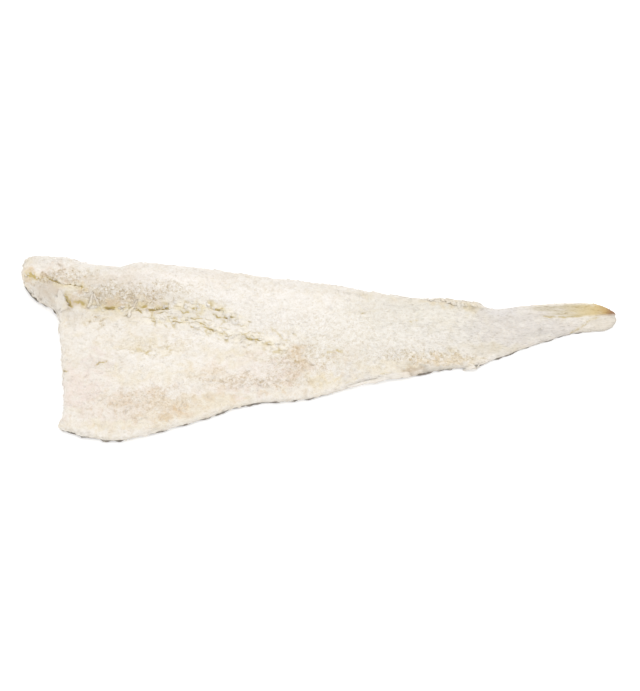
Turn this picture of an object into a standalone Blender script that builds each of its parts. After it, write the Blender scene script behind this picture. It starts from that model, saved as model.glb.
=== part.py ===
"""A side of salted, dried cod with its backbone cut out, lying skin down with the flesh up.

+X runs from the shoulder end to the tail, +Y from the belly flap to the back, and +Z is up.
The origin is the middle of the base. Lengths in this file are millimetres, and MM turns them
into metres where the mesh is finished.
"""

import math

import bmesh
import bpy
import numpy as np
from mathutils import Vector, kdtree, noise

MM = 0.001
NAME = "cod_side"

# The outline, seen from above, as four edges that meet at their ends.
BACK_EDGE = [
    (-279, 95), (-270, 97.5), (-257, 97.5), (-241, 95.5), (-216, 88.5), (-196, 86), (-186, 84.5), (-178, 88.5),
    (-168, 90), (-149, 88.5), (-121, 85.5), (-93, 82), (-55, 76.5), (-17, 72), (26, 66.5), (43, 62.5), (77, 57.5),
    (105, 54.5), (122, 56), (139, 53), (152, 53), (157, 46.5), (171, 46), (190, 49.5),
    (218, 52), (246, 53), (261, 52), (271, 47.5), (279.5, 42),
]
BELLY_EDGE = [
    (-235, -80), (-225, -82.5), (-203, -89), (-183, -91.5), (-164, -88), (-143, -82), (-100, -68),
    (-78, -58.5), (-55, -53), (-31, -51), (-9, -48.5), (11, -43), (25, -38.5), (36, -32),
    (57, -27.5), (82, -25.5), (97, -21.5), (119, -17), (143, -15.5), (149, -13), (168, -4.5), (191, 5),
    (213, 13), (231, 20), (253, 23), (268, 24), (276, 29),
]
SHOULDER_END = [
    (-235, -80), (-233.5, -73.5), (-231.5, -62), (-232.5, -44), (-235.5, -23), (-237, -4), (-239.5, 12),
    (-242, 27), (-244, 40), (-249.5, 46.5), (-259.5, 51.5), (-270.5, 61.5), (-279.5, 71.5), (-281, 77.5),
    (-281, 88), (-279, 95),
]
TAIL_END = [(276, 29), (280, 35), (279.5, 42)]

# How each edge is finished, at even steps from its first point to its last: the height of its rim,
# how far in the top rounds over, and how far the dried edge has curled up off the table.
BACK_RIM, BACK_ROUND, BACK_LIFT = (14, 12, 10, 7.6, 5, 3.2), (12, 16, 14, 11, 8, 5), (2.5, 1.5, 0.5)
BELLY_RIM, BELLY_ROUND, BELLY_LIFT = (3.6, 2.7, 1.8), (3.2, 2.8, 2.4), (1.2, 0.9, 0.5)
SHOULDER_RIM, SHOULDER_ROUND, SHOULDER_LIFT = (3.6, 4.5, 5, 7, 15), (3.2, 6, 9, 12, 9), (1.2, 1.0, 1.2, 1.2, 2.0)
TAIL_RIM, TAIL_ROUND, TAIL_LIFT = (1.8, 3.0), (2.4, 5), (0.5, 0.5)
LIFT_REACH = 16  # how far in from the rim the curl begins
TOP_SET_BACK = 0.6  # the top of the rim stands this far inside the outline
SKIN_SET_BACK = 1.6  # and the skin below it this far
FULLEST_AT = 0.4  # the outline's own height on the rim, as a share of the rim

# Heights of the flesh along the fish, as (x, height).
CREST_HEIGHT = [
    (-281, 21), (-255, 26), (-200, 28), (-140, 27), (-90, 25), (-40, 22.5), (10, 19.5), (60, 16),
    (110, 12.5), (148, 9.5), (162, 7), (200, 5.5), (240, 4.5), (280, 3.5),
]
BELLY_HEIGHT = [
    (-281, 13), (-235, 9), (-190, 10), (-140, 11), (-90, 12), (-40, 12.5), (10, 12.5), (60, 11),
    (110, 9), (150, 7), (200, 4.5), (240, 3.5), (280, 2),
]
# The flap thins towards its edge: its thickness there, from the shoulder to the tail, over this width.
FLAP_EDGE, FLAP_TAPER = (6.0, 3.0), 48
# The slope from the thick loin down to the belly: where it starts and ends, as (x, y).
SLOPE_FOOT = [
    (-281, 36), (-245, 38), (-195, 40), (-143, 37), (-110, 24), (-72, 13), (-35, 1), (0, -10),
    (60, -14), (110, -8), (150, 0), (200, 14), (260, 30),
]
SLOPE_TOP = [
    (-281, 58), (-245, 56), (-195, 58), (-143, 58), (-110, 54), (-72, 48), (-35, 40), (0, 32),
    (60, 26), (110, 22), (150, 24), (200, 30), (260, 38),
]

# Furrows in the flesh: the line that each follows, its depth and its half width.
BONE_LINE = [(-246, 37), (-223, 40), (-195, 40), (-167, 39), (-143, 38), (-125, 40), (-106, 38), (-70, 31)]
RIB_LINE = [(-164, 34), (-133, 28), (-110, 23), (-86, 16), (-72, 13), (-52, 6.5), (-30, 0)]
COLLAR_FOLD = [(-276, 72), (-256, 64), (-241, 59), (-227, 56), (-208, 51)]
FURROWS = [(BONE_LINE, 5.0, 4.4), (RIB_LINE, 3.0, 4.0), (COLLAR_FOLD, 5.0, 4.6)]
FURROW_FADE = 22  # each furrow runs out over this length at its ends
LIP_HEIGHT, LIP_OFFSET, LIP_HALF_WIDTH = 1.4, 8, 6  # raised flesh on the belly side of BONE_LINE

# The tail: a bare web of skin beside the last of the flesh, and a dried rim along the back.
FLESH_BORDER = [(218, 15), (228, 19), (240, 26), (254, 34), (268, 39), (281, 41)]
WEB_HEIGHT, WEB_STEP = 1.9, 2.5
RIDGE_START, RIDGE_RUN_UP = 196, 40
RIDGE_HEIGHT, RIDGE_WIDTH = 1.6, 6

# Uneven swelling of the flesh, as (size of a lump, height).
LUMPS = [(34, 1.3), (13, 0.7)]
FULL_LUMPS_AT = 10  # flesh this thick swells by the full height

CELLS_ALONG, CELLS_ACROSS = 100, 25
CROWDING = 0.45  # how much the rows of the grid crowd towards the rims
OUTLINE_SAMPLES = 260  # places kept along each edge, to measure from
CURVE_STEPS = 12  # points drawn between two given ones


def smooth(share):
    """0 to 1 with an easy start and end, and no further."""
    share = min(1.0, max(0.0, share))
    return share * share * (3 - 2 * share)


def along(stations, x):
    """The value at x of the smooth curve through (x, value) stations."""
    xs, values = np.array(stations, float).T
    x = min(max(x, xs[0]), xs[-1])
    i = min(int(np.searchsorted(xs, x, side="right")), len(xs) - 1)
    slopes = np.gradient(values, xs)
    span = xs[i] - xs[i - 1]
    t = (x - xs[i - 1]) / span
    bend = slopes[i - 1] * t * (1 - t) ** 2 - slopes[i] * t * t * (1 - t)
    return values[i - 1] + (values[i] - values[i - 1]) * smooth(t) + bend * span


def at_share(values, share):
    """The value this share of the way through evenly spaced ones."""
    return float(np.interp(share, np.linspace(0, 1, len(values)), values))


def between(before, here, there, after, t):
    """A point of the smooth curve from here to there."""
    straight = there - before
    turn = 2 * before - 5 * here + 4 * there - after
    twist = 3 * here - before - 3 * there + after
    return here + 0.5 * (straight * t + turn * t**2 + twist * t**3)


def edge_curve(points):
    """A function that takes 0..1 at an even pace along the smooth curve through the points."""
    given = [Vector(point) for point in points]
    given = [2 * given[0] - given[1], *given, 2 * given[-1] - given[-2]]
    drawn = [
        between(*given[i : i + 4], k / CURVE_STEPS) for i in range(len(given) - 3) for k in range(CURVE_STEPS)
    ]
    drawn = np.array([*drawn, given[-2]])
    steps = np.linalg.norm(np.diff(drawn, axis=0), axis=1)
    reached = np.concatenate([[0], np.cumsum(steps)]) / steps.sum()
    return lambda share: Vector([np.interp(share, reached, drawn[:, axis]) for axis in (0, 1)])


class Outline:
    """The four edges, the places between them, and how near and how thick the rim is."""

    def __init__(self):
        self.belly, self.back = edge_curve(BELLY_EDGE), edge_curve(BACK_EDGE)
        self.shoulder, self.tail = edge_curve(SHOULDER_END), edge_curve(TAIL_END)
        finishes = [
            (self.belly, BELLY_RIM, BELLY_ROUND, BELLY_LIFT),
            (self.back, BACK_RIM, BACK_ROUND, BACK_LIFT),
            (self.shoulder, SHOULDER_RIM, SHOULDER_ROUND, SHOULDER_LIFT),
            (self.tail, TAIL_RIM, TAIL_ROUND, TAIL_LIFT),
        ]
        self.samples = []
        for edge, *steps in finishes:
            for share in np.linspace(0, 1, OUTLINE_SAMPLES):
                self.samples.append((edge(share), [at_share(values, share) for values in steps]))
        self.tree = kdtree.KDTree(len(self.samples))
        for i, (place, _) in enumerate(self.samples):
            self.tree.insert(place.to_3d(), i)
        self.tree.balance()

    def place(self, u, v):
        """The place u of the way along and v of the way across, blended from the four edges."""
        corners = (1 - u) * ((1 - v) * self.belly(0) + v * self.back(0))
        corners += u * ((1 - v) * self.belly(1) + v * self.back(1))
        across = (1 - v) * self.belly(u) + v * self.back(u)
        return across + (1 - u) * self.shoulder(v) + u * self.tail(v) - corners

    def rim_near(self, place):
        """Distance to the rim from a place, and the rim's height, rounding and lift there."""
        _, i, distance = self.tree.find(place.to_3d())
        return distance, *self.samples[i][1]


def furrow(place, line, depth, half_width):
    """How deep this furrow is at a place."""
    start, end = line[0][0], line[-1][0]
    fade = smooth((place.x - start) / FURROW_FADE) * smooth((end - place.x) / FURROW_FADE)
    away = (place.y - along(line, place.x)) / half_width
    return depth * fade * math.exp(-away * away)


def lumps(place):
    """Uneven swelling, the same each time."""
    return sum(height * noise.noise(Vector((place.x / size, place.y / size, size))) for size, height in LUMPS)


def flesh_height(place):
    """Thickness of the flesh, before it is rounded over at the rims."""
    x, y = place
    foot, top = along(SLOPE_FOOT, x), along(SLOPE_TOP, x)
    low, high = along(BELLY_HEIGHT, x), along(CREST_HEIGHT, x)
    flap_edge = at_share(FLAP_EDGE, (x - BELLY_EDGE[0][0]) / (BELLY_EDGE[-1][0] - BELLY_EDGE[0][0]))
    if low > flap_edge:
        low = flap_edge + (low - flap_edge) * smooth((y - along(BELLY_EDGE, x)) / FLAP_TAPER)
    height = low + (high - low) * smooth((y - foot) / (top - foot))
    height += lumps(place) * smooth(height / FULL_LUMPS_AT)
    height += furrow(place - Vector((0, -LIP_OFFSET)), BONE_LINE, LIP_HEIGHT, LIP_HALF_WIDTH)
    return height - sum(furrow(place, *one) for one in FURROWS)


def tail_height(place, height, rim_distance):
    """The flesh's thickness brought down to bare skin beside the tail, and up at its dried rim."""
    if place.x < RIDGE_START:
        return height
    over_border = place.y - along(FLESH_BORDER, place.x)
    if place.x > FLESH_BORDER[0][0]:
        height = WEB_HEIGHT + (height - WEB_HEIGHT) * smooth(over_border / WEB_STEP + 0.5)
    if over_border > 0:
        grown = smooth((place.x - RIDGE_START) / RIDGE_RUN_UP)
        height += RIDGE_HEIGHT * grown * math.exp(-((rim_distance / RIDGE_WIDTH) ** 2))
    return height


def curl(rim_distance, lift):
    """How far the skin stands off the table this far in from the rim."""
    return lift * max(0.0, 1 - rim_distance / LIFT_REACH) ** 2


def top_height(place, outline):
    """Height of the flesh side over the table."""
    distance, rim, rounding, lift = outline.rim_near(place)
    height = tail_height(place, flesh_height(place), distance)
    rim = min(rim, height)
    inward = min(1.0, distance / rounding)
    return rim + (height - rim) * math.sqrt(1 - (1 - inward) ** 2) + curl(distance, lift)


def crowded(share):
    """0 to 1 with the steps crowded towards both ends."""
    return share + (0.5 - 0.5 * math.cos(math.pi * share) - share) * CROWDING


def shaped(block, outline):
    """A point of the unit block, moved to its place on the fish."""
    level = round(2 * block.z)
    set_back = (SKIN_SET_BACK, 0, TOP_SET_BACK)[level]
    length, width = BACK_EDGE[-1][0] - BACK_EDGE[0][0], BACK_EDGE[0][1] - BELLY_EDGE[0][1]
    u = 0.5 + block.x * (1 - 2 * set_back / length)
    v = 0.5 + (crowded(block.y + 0.5) - 0.5) * (1 - 2 * set_back / width)
    place = outline.place(u, v)
    if level == 2:
        return *place, top_height(place, outline)
    distance, rim, _, lift = outline.rim_near(place)
    return *place, curl(distance, lift) + level * rim * FULLEST_AT


def unit_block(bm):
    """A flat block of grid cells with one more row of points half way up its sides."""
    bmesh.ops.create_grid(bm, x_segments=CELLS_ALONG, y_segments=CELLS_ACROSS, size=0.5)
    bmesh.ops.translate(bm, verts=bm.verts, vec=(0, 0, 1))
    made = bmesh.ops.extrude_face_region(bm, geom=bm.faces[:])["geom"]
    lower = {item for item in made if isinstance(item, bmesh.types.BMVert)}
    bmesh.ops.translate(bm, verts=list(lower), vec=(0, 0, -1))
    upright = [edge for edge in bm.edges if len(lower.intersection(edge.verts)) == 1]
    bmesh.ops.subdivide_edges(bm, edges=upright, cuts=1)


def cod_side(outline):
    """The whole side as one mesh, in metres, with its origin in the middle of its base."""
    bm = bmesh.new()
    unit_block(bm)
    for vertex in bm.verts:
        vertex.co = shaped(vertex.co, outline)
    places = np.array([vertex.co for vertex in bm.verts])
    middle = (places.min(axis=0) + places.max(axis=0)) / 2
    bmesh.ops.translate(bm, verts=bm.verts, vec=(-middle[0], -middle[1], 0))
    bmesh.ops.scale(bm, verts=bm.verts, vec=(MM, MM, MM))
    bmesh.ops.recalc_face_normals(bm, faces=bm.faces)
    mesh = bpy.data.meshes.new(NAME)
    bm.to_mesh(mesh)
    bm.free()
    mesh.shade_smooth()
    return mesh


def salted_flesh():
    """Off-white flesh under a dull crust of salt."""
    material = bpy.data.materials.new("salted_flesh")
    material.use_nodes = True
    shader = material.node_tree.nodes["Principled BSDF"]
    shader.inputs["Base Color"].default_value = (0.83, 0.77, 0.66, 1)
    shader.inputs["Roughness"].default_value = 0.85
    shader.inputs["Metallic"].default_value = 0.0
    return material


def main():
    for obj in list(bpy.data.objects):
        bpy.data.objects.remove(obj)
    parts = bpy.data.collections.new("salted_dried_cod")
    bpy.context.scene.collection.children.link(parts)
    fish = bpy.data.objects.new(NAME, cod_side(Outline()))
    fish.data.materials.append(salted_flesh())
    parts.objects.link(fish)


main()
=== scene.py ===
# %% [markdown]
# # A side of salted, dried cod
#
# The fish was split along its backbone, salted and dried until it is as stiff as a board. It lies skin
# down, with a thick loin along the back, a thin belly flap and a tail end that has dried to amber.
#
# We start from the plain solid of the side, which has the right size and place, and dress it: the flesh is
# carved and roughened, the skin is laid under it, and flakes, fibres and salt are strewn over it.

# %% The frame
import math
import random

import bpy
import numpy as np
from mathutils import Matrix, Vector, kdtree, noise
from mathutils.bvhtree import BVHTree


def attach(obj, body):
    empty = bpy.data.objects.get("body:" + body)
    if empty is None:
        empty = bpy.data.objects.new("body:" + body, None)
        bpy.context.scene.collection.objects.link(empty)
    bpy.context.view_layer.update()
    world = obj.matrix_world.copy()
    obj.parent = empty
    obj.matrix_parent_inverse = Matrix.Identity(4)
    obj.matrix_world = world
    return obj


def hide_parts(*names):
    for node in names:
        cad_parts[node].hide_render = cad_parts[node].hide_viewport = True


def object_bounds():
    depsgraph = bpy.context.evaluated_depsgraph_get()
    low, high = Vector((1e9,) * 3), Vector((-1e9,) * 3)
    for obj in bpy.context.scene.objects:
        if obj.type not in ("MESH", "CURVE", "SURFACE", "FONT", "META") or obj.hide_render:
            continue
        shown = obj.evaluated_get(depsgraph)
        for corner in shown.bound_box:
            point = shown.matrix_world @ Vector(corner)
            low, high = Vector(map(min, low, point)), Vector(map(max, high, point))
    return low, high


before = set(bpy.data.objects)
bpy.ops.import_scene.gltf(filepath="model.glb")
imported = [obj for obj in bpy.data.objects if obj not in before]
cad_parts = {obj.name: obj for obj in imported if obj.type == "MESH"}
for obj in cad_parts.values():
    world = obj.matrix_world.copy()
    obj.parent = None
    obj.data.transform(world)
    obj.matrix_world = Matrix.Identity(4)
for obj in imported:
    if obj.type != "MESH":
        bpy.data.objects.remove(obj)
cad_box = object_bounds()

MM = 0.001  # lengths below are millimetres, and Blender's are metres
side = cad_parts["cod_side"]
print("the plain side measures", [round((high - low) / MM) for low, high in zip(*cad_box)], "mm")

# %% [markdown]
# ## Camera, table and light
#
# We settle how the fish is looked at before we model it. The camera stands in front of the belly flap and
# looks down steeply with a long lens, which keeps the outline true. The light is that of a bright, white
# tent: an even sky all round, and one large soft lamp behind the fish. It skims the flesh from the back, so
# that every flake and furrow shows a little shade on its near side.

# %% Camera, table and light
LOOKS_AT = Vector((2.0, 1.5, 8)) * MM
LOOKS_DOWN = math.radians(60)
STANDS_OFF = 1508 * MM
LENS = 85
LAMP_AT, LAMP_SIZE, LAMP_POWER = (0.25, 0.9, 1.0), 0.8, 3.2
SKY_STRENGTH = 1.18
TABLE_WHITE, TABLE_GLOW = 0.93, 0.16  # the table is lit from below as well, which leaves only thin shadows

bpy.ops.object.select_all(action="DESELECT")
away = Vector((0, -math.cos(LOOKS_DOWN), math.sin(LOOKS_DOWN)))
bpy.ops.object.camera_add(
    location=LOOKS_AT + away * STANDS_OFF, rotation=(math.pi / 2 - LOOKS_DOWN, 0, 0)
)
camera = bpy.context.object
camera.data.lens = LENS
camera.data.sensor_fit = "AUTO"
bpy.context.scene.camera = camera

bpy.ops.object.light_add(type="AREA", location=LAMP_AT)
lamp = bpy.context.object
lamp.data.shape = "DISK"
lamp.data.size = LAMP_SIZE
lamp.data.energy = LAMP_POWER
lamp.rotation_euler = (LOOKS_AT - lamp.location).to_track_quat("-Z", "Y").to_euler()

sky = bpy.data.worlds.new("white_tent")
bpy.context.scene.world = sky
sky.use_nodes = True
sky_light = sky.node_tree.nodes["Background"].inputs
sky_light["Color"].default_value = (1, 1, 1, 1)
sky_light["Strength"].default_value = SKY_STRENGTH
bpy.context.scene.view_settings.view_transform = "Standard"

bpy.ops.mesh.primitive_plane_add(size=6, location=(0, 0, 0))
table = bpy.context.object
table.name = "table"
white = bpy.data.materials.new("white_table")
white.use_nodes = True
paint = white.node_tree.nodes["Principled BSDF"].inputs
paint["Base Color"].default_value = (TABLE_WHITE, TABLE_WHITE, TABLE_WHITE, 1)
paint["Roughness"].default_value = 0.9
paint["Emission Color"].default_value = (1, 1, 1, 1)
paint["Emission Strength"].default_value = TABLE_GLOW
table.data.materials.append(white)
print("camera", round(STANDS_OFF / MM), "mm off, looking down", round(math.degrees(LOOKS_DOWN)), "degrees")

# %% [markdown]
# ## Tools we use again and again
#
# Operators act on what is selected, so one helper selects a piece alone. Another adds a modifier and applies
# it at once, so that the next step works on real vertices. A third reads a piece's vertices as an array of
# millimetres, because moving a hundred thousand points one at a time is slow.


# %% Tools we use again and again
def only(piece):
    """Selects one piece and nothing else."""
    bpy.ops.object.select_all(action="DESELECT")
    piece.select_set(True)
    bpy.context.view_layer.objects.active = piece


def modify(piece, kind, **settings):
    """Adds a modifier to a piece, sets it and applies it."""
    only(piece)
    modifier = piece.modifiers.new(kind, kind)
    for name, value in settings.items():
        setattr(modifier, name, value)
    bpy.ops.object.modifier_apply(modifier=modifier.name)


def duplicate(piece, name):
    """A new object with its own copy of the mesh."""
    twin = bpy.data.objects.new(name, piece.data.copy())
    bpy.context.scene.collection.objects.link(twin)
    return twin


def points_of(piece):
    """The piece's vertices, in millimetres."""
    flat = np.empty(len(piece.data.vertices) * 3)
    piece.data.vertices.foreach_get("co", flat)
    return flat.reshape(-1, 3) / MM


def normals_of(piece):
    """Which way the surface faces at each vertex."""
    flat = np.empty(len(piece.data.vertices) * 3)
    piece.data.vertex_normals.foreach_get("vector", flat)
    return flat.reshape(-1, 3)


def move_points(piece, points):
    """Puts the vertices at these places, in millimetres."""
    piece.data.vertices.foreach_set("co", (points * MM).ravel())
    piece.data.update()


def shaken_by(points, amount, for_x, for_y):
    """The points moved sideways by smooth noise, whose size and layer are given for x and for y."""
    sideways = [waves(points, *for_x), waves(points, *for_y), np.zeros(len(points))]
    return points + amount * np.stack(sideways, 1)


def ease(share):
    """0 to 1 with an easy start and end, and no further."""
    share = np.clip(share, 0, 1)
    return share * share * (3 - 2 * share)


def bell(distance, half_width):
    """1 at no distance, and falling away to nothing beyond the half width."""
    return np.exp(-((distance / half_width) ** 2))


def waves(points, size, layer=0.0, stretch=1.0):
    """Smooth noise, about -1 to 1, whose humps are this size and drawn out along the fish by stretch."""
    steps = (points / (size * stretch, size, size) + (0, 0, layer)).tolist()
    return np.array([noise.noise(step) for step in steps])


# %% [markdown]
# ## The flesh, roughed out
#
# The side's solid has large flat facets. We merge its loose triangles, round it with a subdivision surface,
# and remesh it into an even net of small squares, fine enough to carve fluff into. Nobody sees the flesh
# from below, where the skin covers it, so there the net is thinned out again.

# %% The flesh, roughed out
NET = 1.18 * MM
LEFT_BELOW = 4000  # triangles


def triangles(piece):
    """How many triangles the piece's faces make."""
    return sum(len(face.vertices) - 2 for face in piece.data.polygons)


block = duplicate(side, "block")
only(block)
bpy.ops.object.mode_set(mode="EDIT")
bpy.ops.mesh.select_all(action="SELECT")
bpy.ops.mesh.remove_doubles(threshold=0.01 * MM)
bpy.ops.mesh.tris_convert_to_quads()
bpy.ops.object.mode_set(mode="OBJECT")
modify(block, "SUBSURF", levels=1, render_levels=1)

flesh = duplicate(block, "salted_side")
modify(flesh, "REMESH", mode="VOXEL", voxel_size=NET)
face_down = normals_of(flesh)[:, 2] < -0.7
below = flesh.vertex_groups.new(name="below")
below.add(np.flatnonzero(face_down).tolist(), 1.0, "REPLACE")
spare = 2 * face_down.sum() - LEFT_BELOW
modify(flesh, "DECIMATE", ratio=1 - spare / triangles(flesh), vertex_group="below")
flesh.vertex_groups.clear()
print("flesh:", triangles(flesh), "triangles, in a net of", NET / MM, "mm")

# %% [markdown]
# ## Finding our way on the fish
#
# Folds and stains are given by their place on the fish, in millimetres from the middle of its base. To know
# how near a place is to an edge, we drop a plumb line on to the block at every point of a grid. The grid
# points that hit, beside one that misses, are the outline.

# %% Finding our way on the fish
GRID = 1.5
DROP_FROM = 80


def surface_of(piece):
    """A tree that answers, for any ray, where it meets the piece."""
    return BVHTree.FromPolygons(
        [tuple(point) for point in points_of(piece)], [tuple(face.vertices) for face in piece.data.polygons]
    )


def drop(surface, x, y):
    """The place and normal where a plumb line at x, y meets the surface, or None twice."""
    hit, normal, _, _ = surface.ray_cast(Vector((x, y, DROP_FROM)), Vector((0, 0, -1)))
    return hit, normal


low_corner, high_corner = (np.array(corner) / MM for corner in cad_box)
columns = np.arange(low_corner[0] - GRID, high_corner[0] + 2 * GRID, GRID)
rows = np.arange(low_corner[1] - GRID, high_corner[1] + 2 * GRID, GRID)
block_surface = surface_of(block)
covered = np.array([[drop(block_surface, x, y)[0] is not None for y in rows] for x in columns])
inner = covered[1:-1, 1:-1] & covered[:-2, 1:-1] & covered[2:, 1:-1] & covered[1:-1, :-2] & covered[1:-1, 2:]
at_edge = np.argwhere(covered[1:-1, 1:-1] & ~inner) + 1
outline = kdtree.KDTree(len(at_edge))
for number, (i, j) in enumerate(at_edge):
    outline.insert((columns[i], rows[j], 0), number)
outline.balance()
inside = [i for i in range(len(columns)) if covered[i].any()]
back_at = [rows[covered[i]].max() for i in inside]
belly_at = [rows[covered[i]].min() for i in inside]
print("outline:", len(at_edge), "points,", round(covered.sum() * GRID * GRID / 100), "square centimetres")


def to_edge(points):
    """How far each point is from the outline, and where the nearest point of the outline is."""
    found = [outline.find((x, y, 0)) for x, y in points[:, :2]]
    return np.array([distance for _, _, distance in found]), np.array([tuple(place) for place, _, _ in found])


def across(points):
    """0 at the belly edge to 1 at the back edge, which is also how the muscle runs towards the tail."""
    back = np.interp(points[:, 0], columns[inside], back_at)
    belly = np.interp(points[:, 0], columns[inside], belly_at)
    return (points[:, 1] - belly) / np.maximum(back - belly, GRID)


def from_line(points, line):
    """Distance from a line, how far along it that is, and the side: 1 towards the back, -1 to the belly."""
    flat = points[:, :2]
    nearest = np.full(len(flat), np.inf)
    reached = np.zeros(len(flat))
    side_of = np.ones(len(flat))
    gone = 0.0
    for start, end in zip(np.array(line[:-1], float), np.array(line[1:], float)):
        run = end - start
        length = np.linalg.norm(run)
        share = np.clip((flat - start) @ run / length**2, 0, 1)
        off = flat - start - share[:, None] * run
        distance = np.linalg.norm(off, axis=1)
        closer = distance < nearest
        nearest[closer] = distance[closer]
        reached[closer] = gone + share[closer] * length
        side_of[closer] = np.where(run[0] * off[closer, 1] - run[1] * off[closer, 0] > 0, 1, -1)
        gone += length
    return nearest, reached, side_of, gone


# %% [markdown]
# ## Where the flesh changes
#
# These lines and spots are the map of this fish. The bone line is the furrow where the backbone was cut out,
# and the rib line runs down from it where the belly flap begins. Towards the tail the flesh thins to a wedge
# beside a bare web of skin, and the back edge has dried to a hard amber ridge.

# %% Where the flesh changes
BONE_LINE = [
    (-217, 42), (-208, 40.5), (-199, 40), (-191, 39.5), (-184, 40), (-177, 40), (-169.5, 42), (-165.5, 42.5),
    (-159, 40), (-152, 39), (-144, 39), (-136.5, 39), (-127, 38.5), (-118.5, 36), (-113, 37.5), (-107.5, 34),
    (-102.5, 38.5), (-97, 35), (-90.5, 34), (-83, 29.5), (-75.5, 25), (-69, 20),
]
RIB_LINE = [
    (-156, 30), (-148.5, 26.5), (-139, 26), (-130, 26), (-122, 26), (-115.5, 25.5), (-109, 21), (-103, 19),
    (-96, 15), (-86.5, 11), (-77, 9), (-68, 7.5), (-57, 6), (-46.5, 1.5), (-38, -5),
]
COLLAR_FOLD = [
    (-276, 71), (-269.5, 70), (-263.5, 66), (-256.5, 62.5), (-250, 63), (-244, 59.5), (-236.5, 57),
    (-229, 56), (-221, 54.5), (-218, 52),
]
RIDGE_FOOT = [(171, 41), (182, 41), (199, 37.5), (213, 34.5), (232, 34), (246, 35), (265, 36), (281, 37)]
FLESH_BORDER = [
    (182, -4), (199, 2.5), (219, 10.5), (229, 14), (239.5, 20), (249.5, 27.5), (255, 32), (265, 35.5),
]

# Furrows and cracks: the line, the depth, the half width, and how much of its length gapes, from 0 to 1.
CRACKS = [
    (BONE_LINE[:8], 1.2, 0.6, 0.2),
    ([(-159, 38.4), (-152, 38.1), (-144, 37.9), (-137, 37.8)], 2.0, 0.9, 1.0),
    ([(-168, 40.2), (-165, 40.6), (-159, 41.4)], 1.4, 0.8, 0.9),
    ([(-171, 37.3), (-168, 38.8), (-164, 34.6)], 1.4, 0.7, 0.9),
    ([(-118, 36.2), (-115, 35.2), (-111, 34.2)], 1.2, 0.7, 0.9),
    ([(-102, 37.2), (-99, 35.2), (-96, 34), (-91, 33.6), (-88, 35)], 1.6, 0.8, 1.0),
    ([(-98, 30.4), (-92, 27), (-88, 26.7), (-81, 27.1), (-76.5, 25.4)], 1.5, 0.7, 0.9),
    ([(-75, 20.8), (-69, 19)], 1.3, 0.7, 1.0),
    ([(-65.5, 23.2), (-61, 20.5)], 1.1, 0.6, 0.9),
    ([(-156, 27.2), (-149, 25.8)], 1.1, 0.6, 0.9),
    ([(-141, 31.2), (-133, 29.3), (-128, 26.5)], 1.3, 0.7, 0.8),
    ([(-137, 24.8), (-130, 24.8), (-125, 24.1)], 1.3, 0.7, 0.9),
    ([(-122, 29.7), (-114, 27.5), (-106, 27.5)], 0.9, 0.6, 0.6),
    ([(-114, 24.4), (-107, 21.5), (-103, 18.6)], 1.2, 0.6, 0.8),
    ([(-101, 17.6), (-96, 14.6), (-93, 13.4)], 1.3, 0.75, 0.8),
    ([(-91, 12.6), (-87, 11.2), (-83, 10.9)], 1.1, 0.6, 0.8),
    ([(-131, 35.4), (-124, 33), (-118, 33.4)], 0.9, 0.55, 0.8),
    ([(-150, 33.6), (-143, 34.6), (-139, 33.4)], 0.9, 0.55, 0.8),
    ([(-120, 20.6), (-113, 18.2)], 0.9, 0.6, 0.8),
    ([(-107, 19), (-103, 17.1), (-98, 15.9)], 1.1, 0.6, 0.8),
    ([(-67, 6.4), (-59.5, 5.4), (-53, 3.7)], 1.2, 0.75, 0.9),
    ([(-48, 0.8), (-42, -1.4)], 1.2, 0.7, 0.9),
    (COLLAR_FOLD[:4], 1.4, 1.8, 0.8),
    (COLLAR_FOLD[3:], 1.7, 0.6, 0.9),
    ([(-220.5, 55), (-218.5, 52)], 2.0, 1.2, 1.0),
    ([(-235, 48.5), (-233.5, 44), (-229.5, 40.5)], 3.2, 1.2, 1.0),
    ([(-229, 43), (-222, 44), (-217, 42)], 1.1, 1.4, 1.0),
    ([(-199, 40.5), (-195, 39.5), (-190, 40)], 3.0, 1.1, 1.0),
    ([(-184, 32.5), (-180.5, 32), (-176, 34)], 1.2, 0.55, 0.9),
    ([(-205.5, -21.5), (-200.5, -17.5), (-192, -15.5)], 1.0, 0.7, 0.9),
    ([(-206, 42), (-205.5, 41)], 2.4, 1.4, 1.0),
    ([(-238, -24.5), (-229, -26.5)], 2.2, 0.6, 1.0),
    ([(-236, -33), (-232, -33)], 1.6, 0.6, 1.0),
    ([(-152, -10.5), (-146, -10.5)], 0.9, 0.6, 0.9),
    ([(4, -13), (9, -7.5), (18, -6), (26, -9)], 0.7, 0.8, 0.7),
    ([(36, 29.5), (40, 32), (44, 31)], 0.7, 0.6, 0.9),
    ([(84, 24), (89, 25), (94, 25.5)], 0.8, 0.6, 0.9),
    ([(126, 39.5), (133, 39), (140, 41.5), (147, 43.5)], 0.45, 0.7, 0.7),
    ([(211, 34.8), (221, 34), (233, 34.2), (249, 35.8)], 1.0, 0.8, 1.0),
    ([(23.5, -37.5), (39, -30.5), (57.5, -26.5), (81.5, -23)], 0.45, 0.7, 0.5),
    (FLESH_BORDER, 0.6, 0.7, 0.8),
]
CRACK_WANDERS, CRACK_FADE = 1.1, 5

# The plain side's furrows are broader than these cracks, so they are filled: the line, by how much, and the
# half width.
FILLINGS = [
    ([(-246, 34), (-223, 37), (-167, 36), (-143, 35), (-125, 37), (-106, 35), (-70, 28)], 3.4, 4.4),
    ([(-164, 31), (-133, 25), (-110, 20), (-86, 13), (-72, 10), (-52, 3.5), (-30, -3)], 2.6, 4.4),
    ([(-276, 69), (-256, 61), (-241, 56), (-227, 53), (-208, 48)], 2.4, 4.6),
    ([(88, 50), (112, 49.5), (132, 45.5)], 1.6, 2.2),
    ([(118, 48), (136, 45), (150, 42.5), (172, 42)], 1.8, 1.8),
]
REFINED_WITHIN = [7, 1.3]  # the net is made finer this near the furrows, and then again

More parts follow.
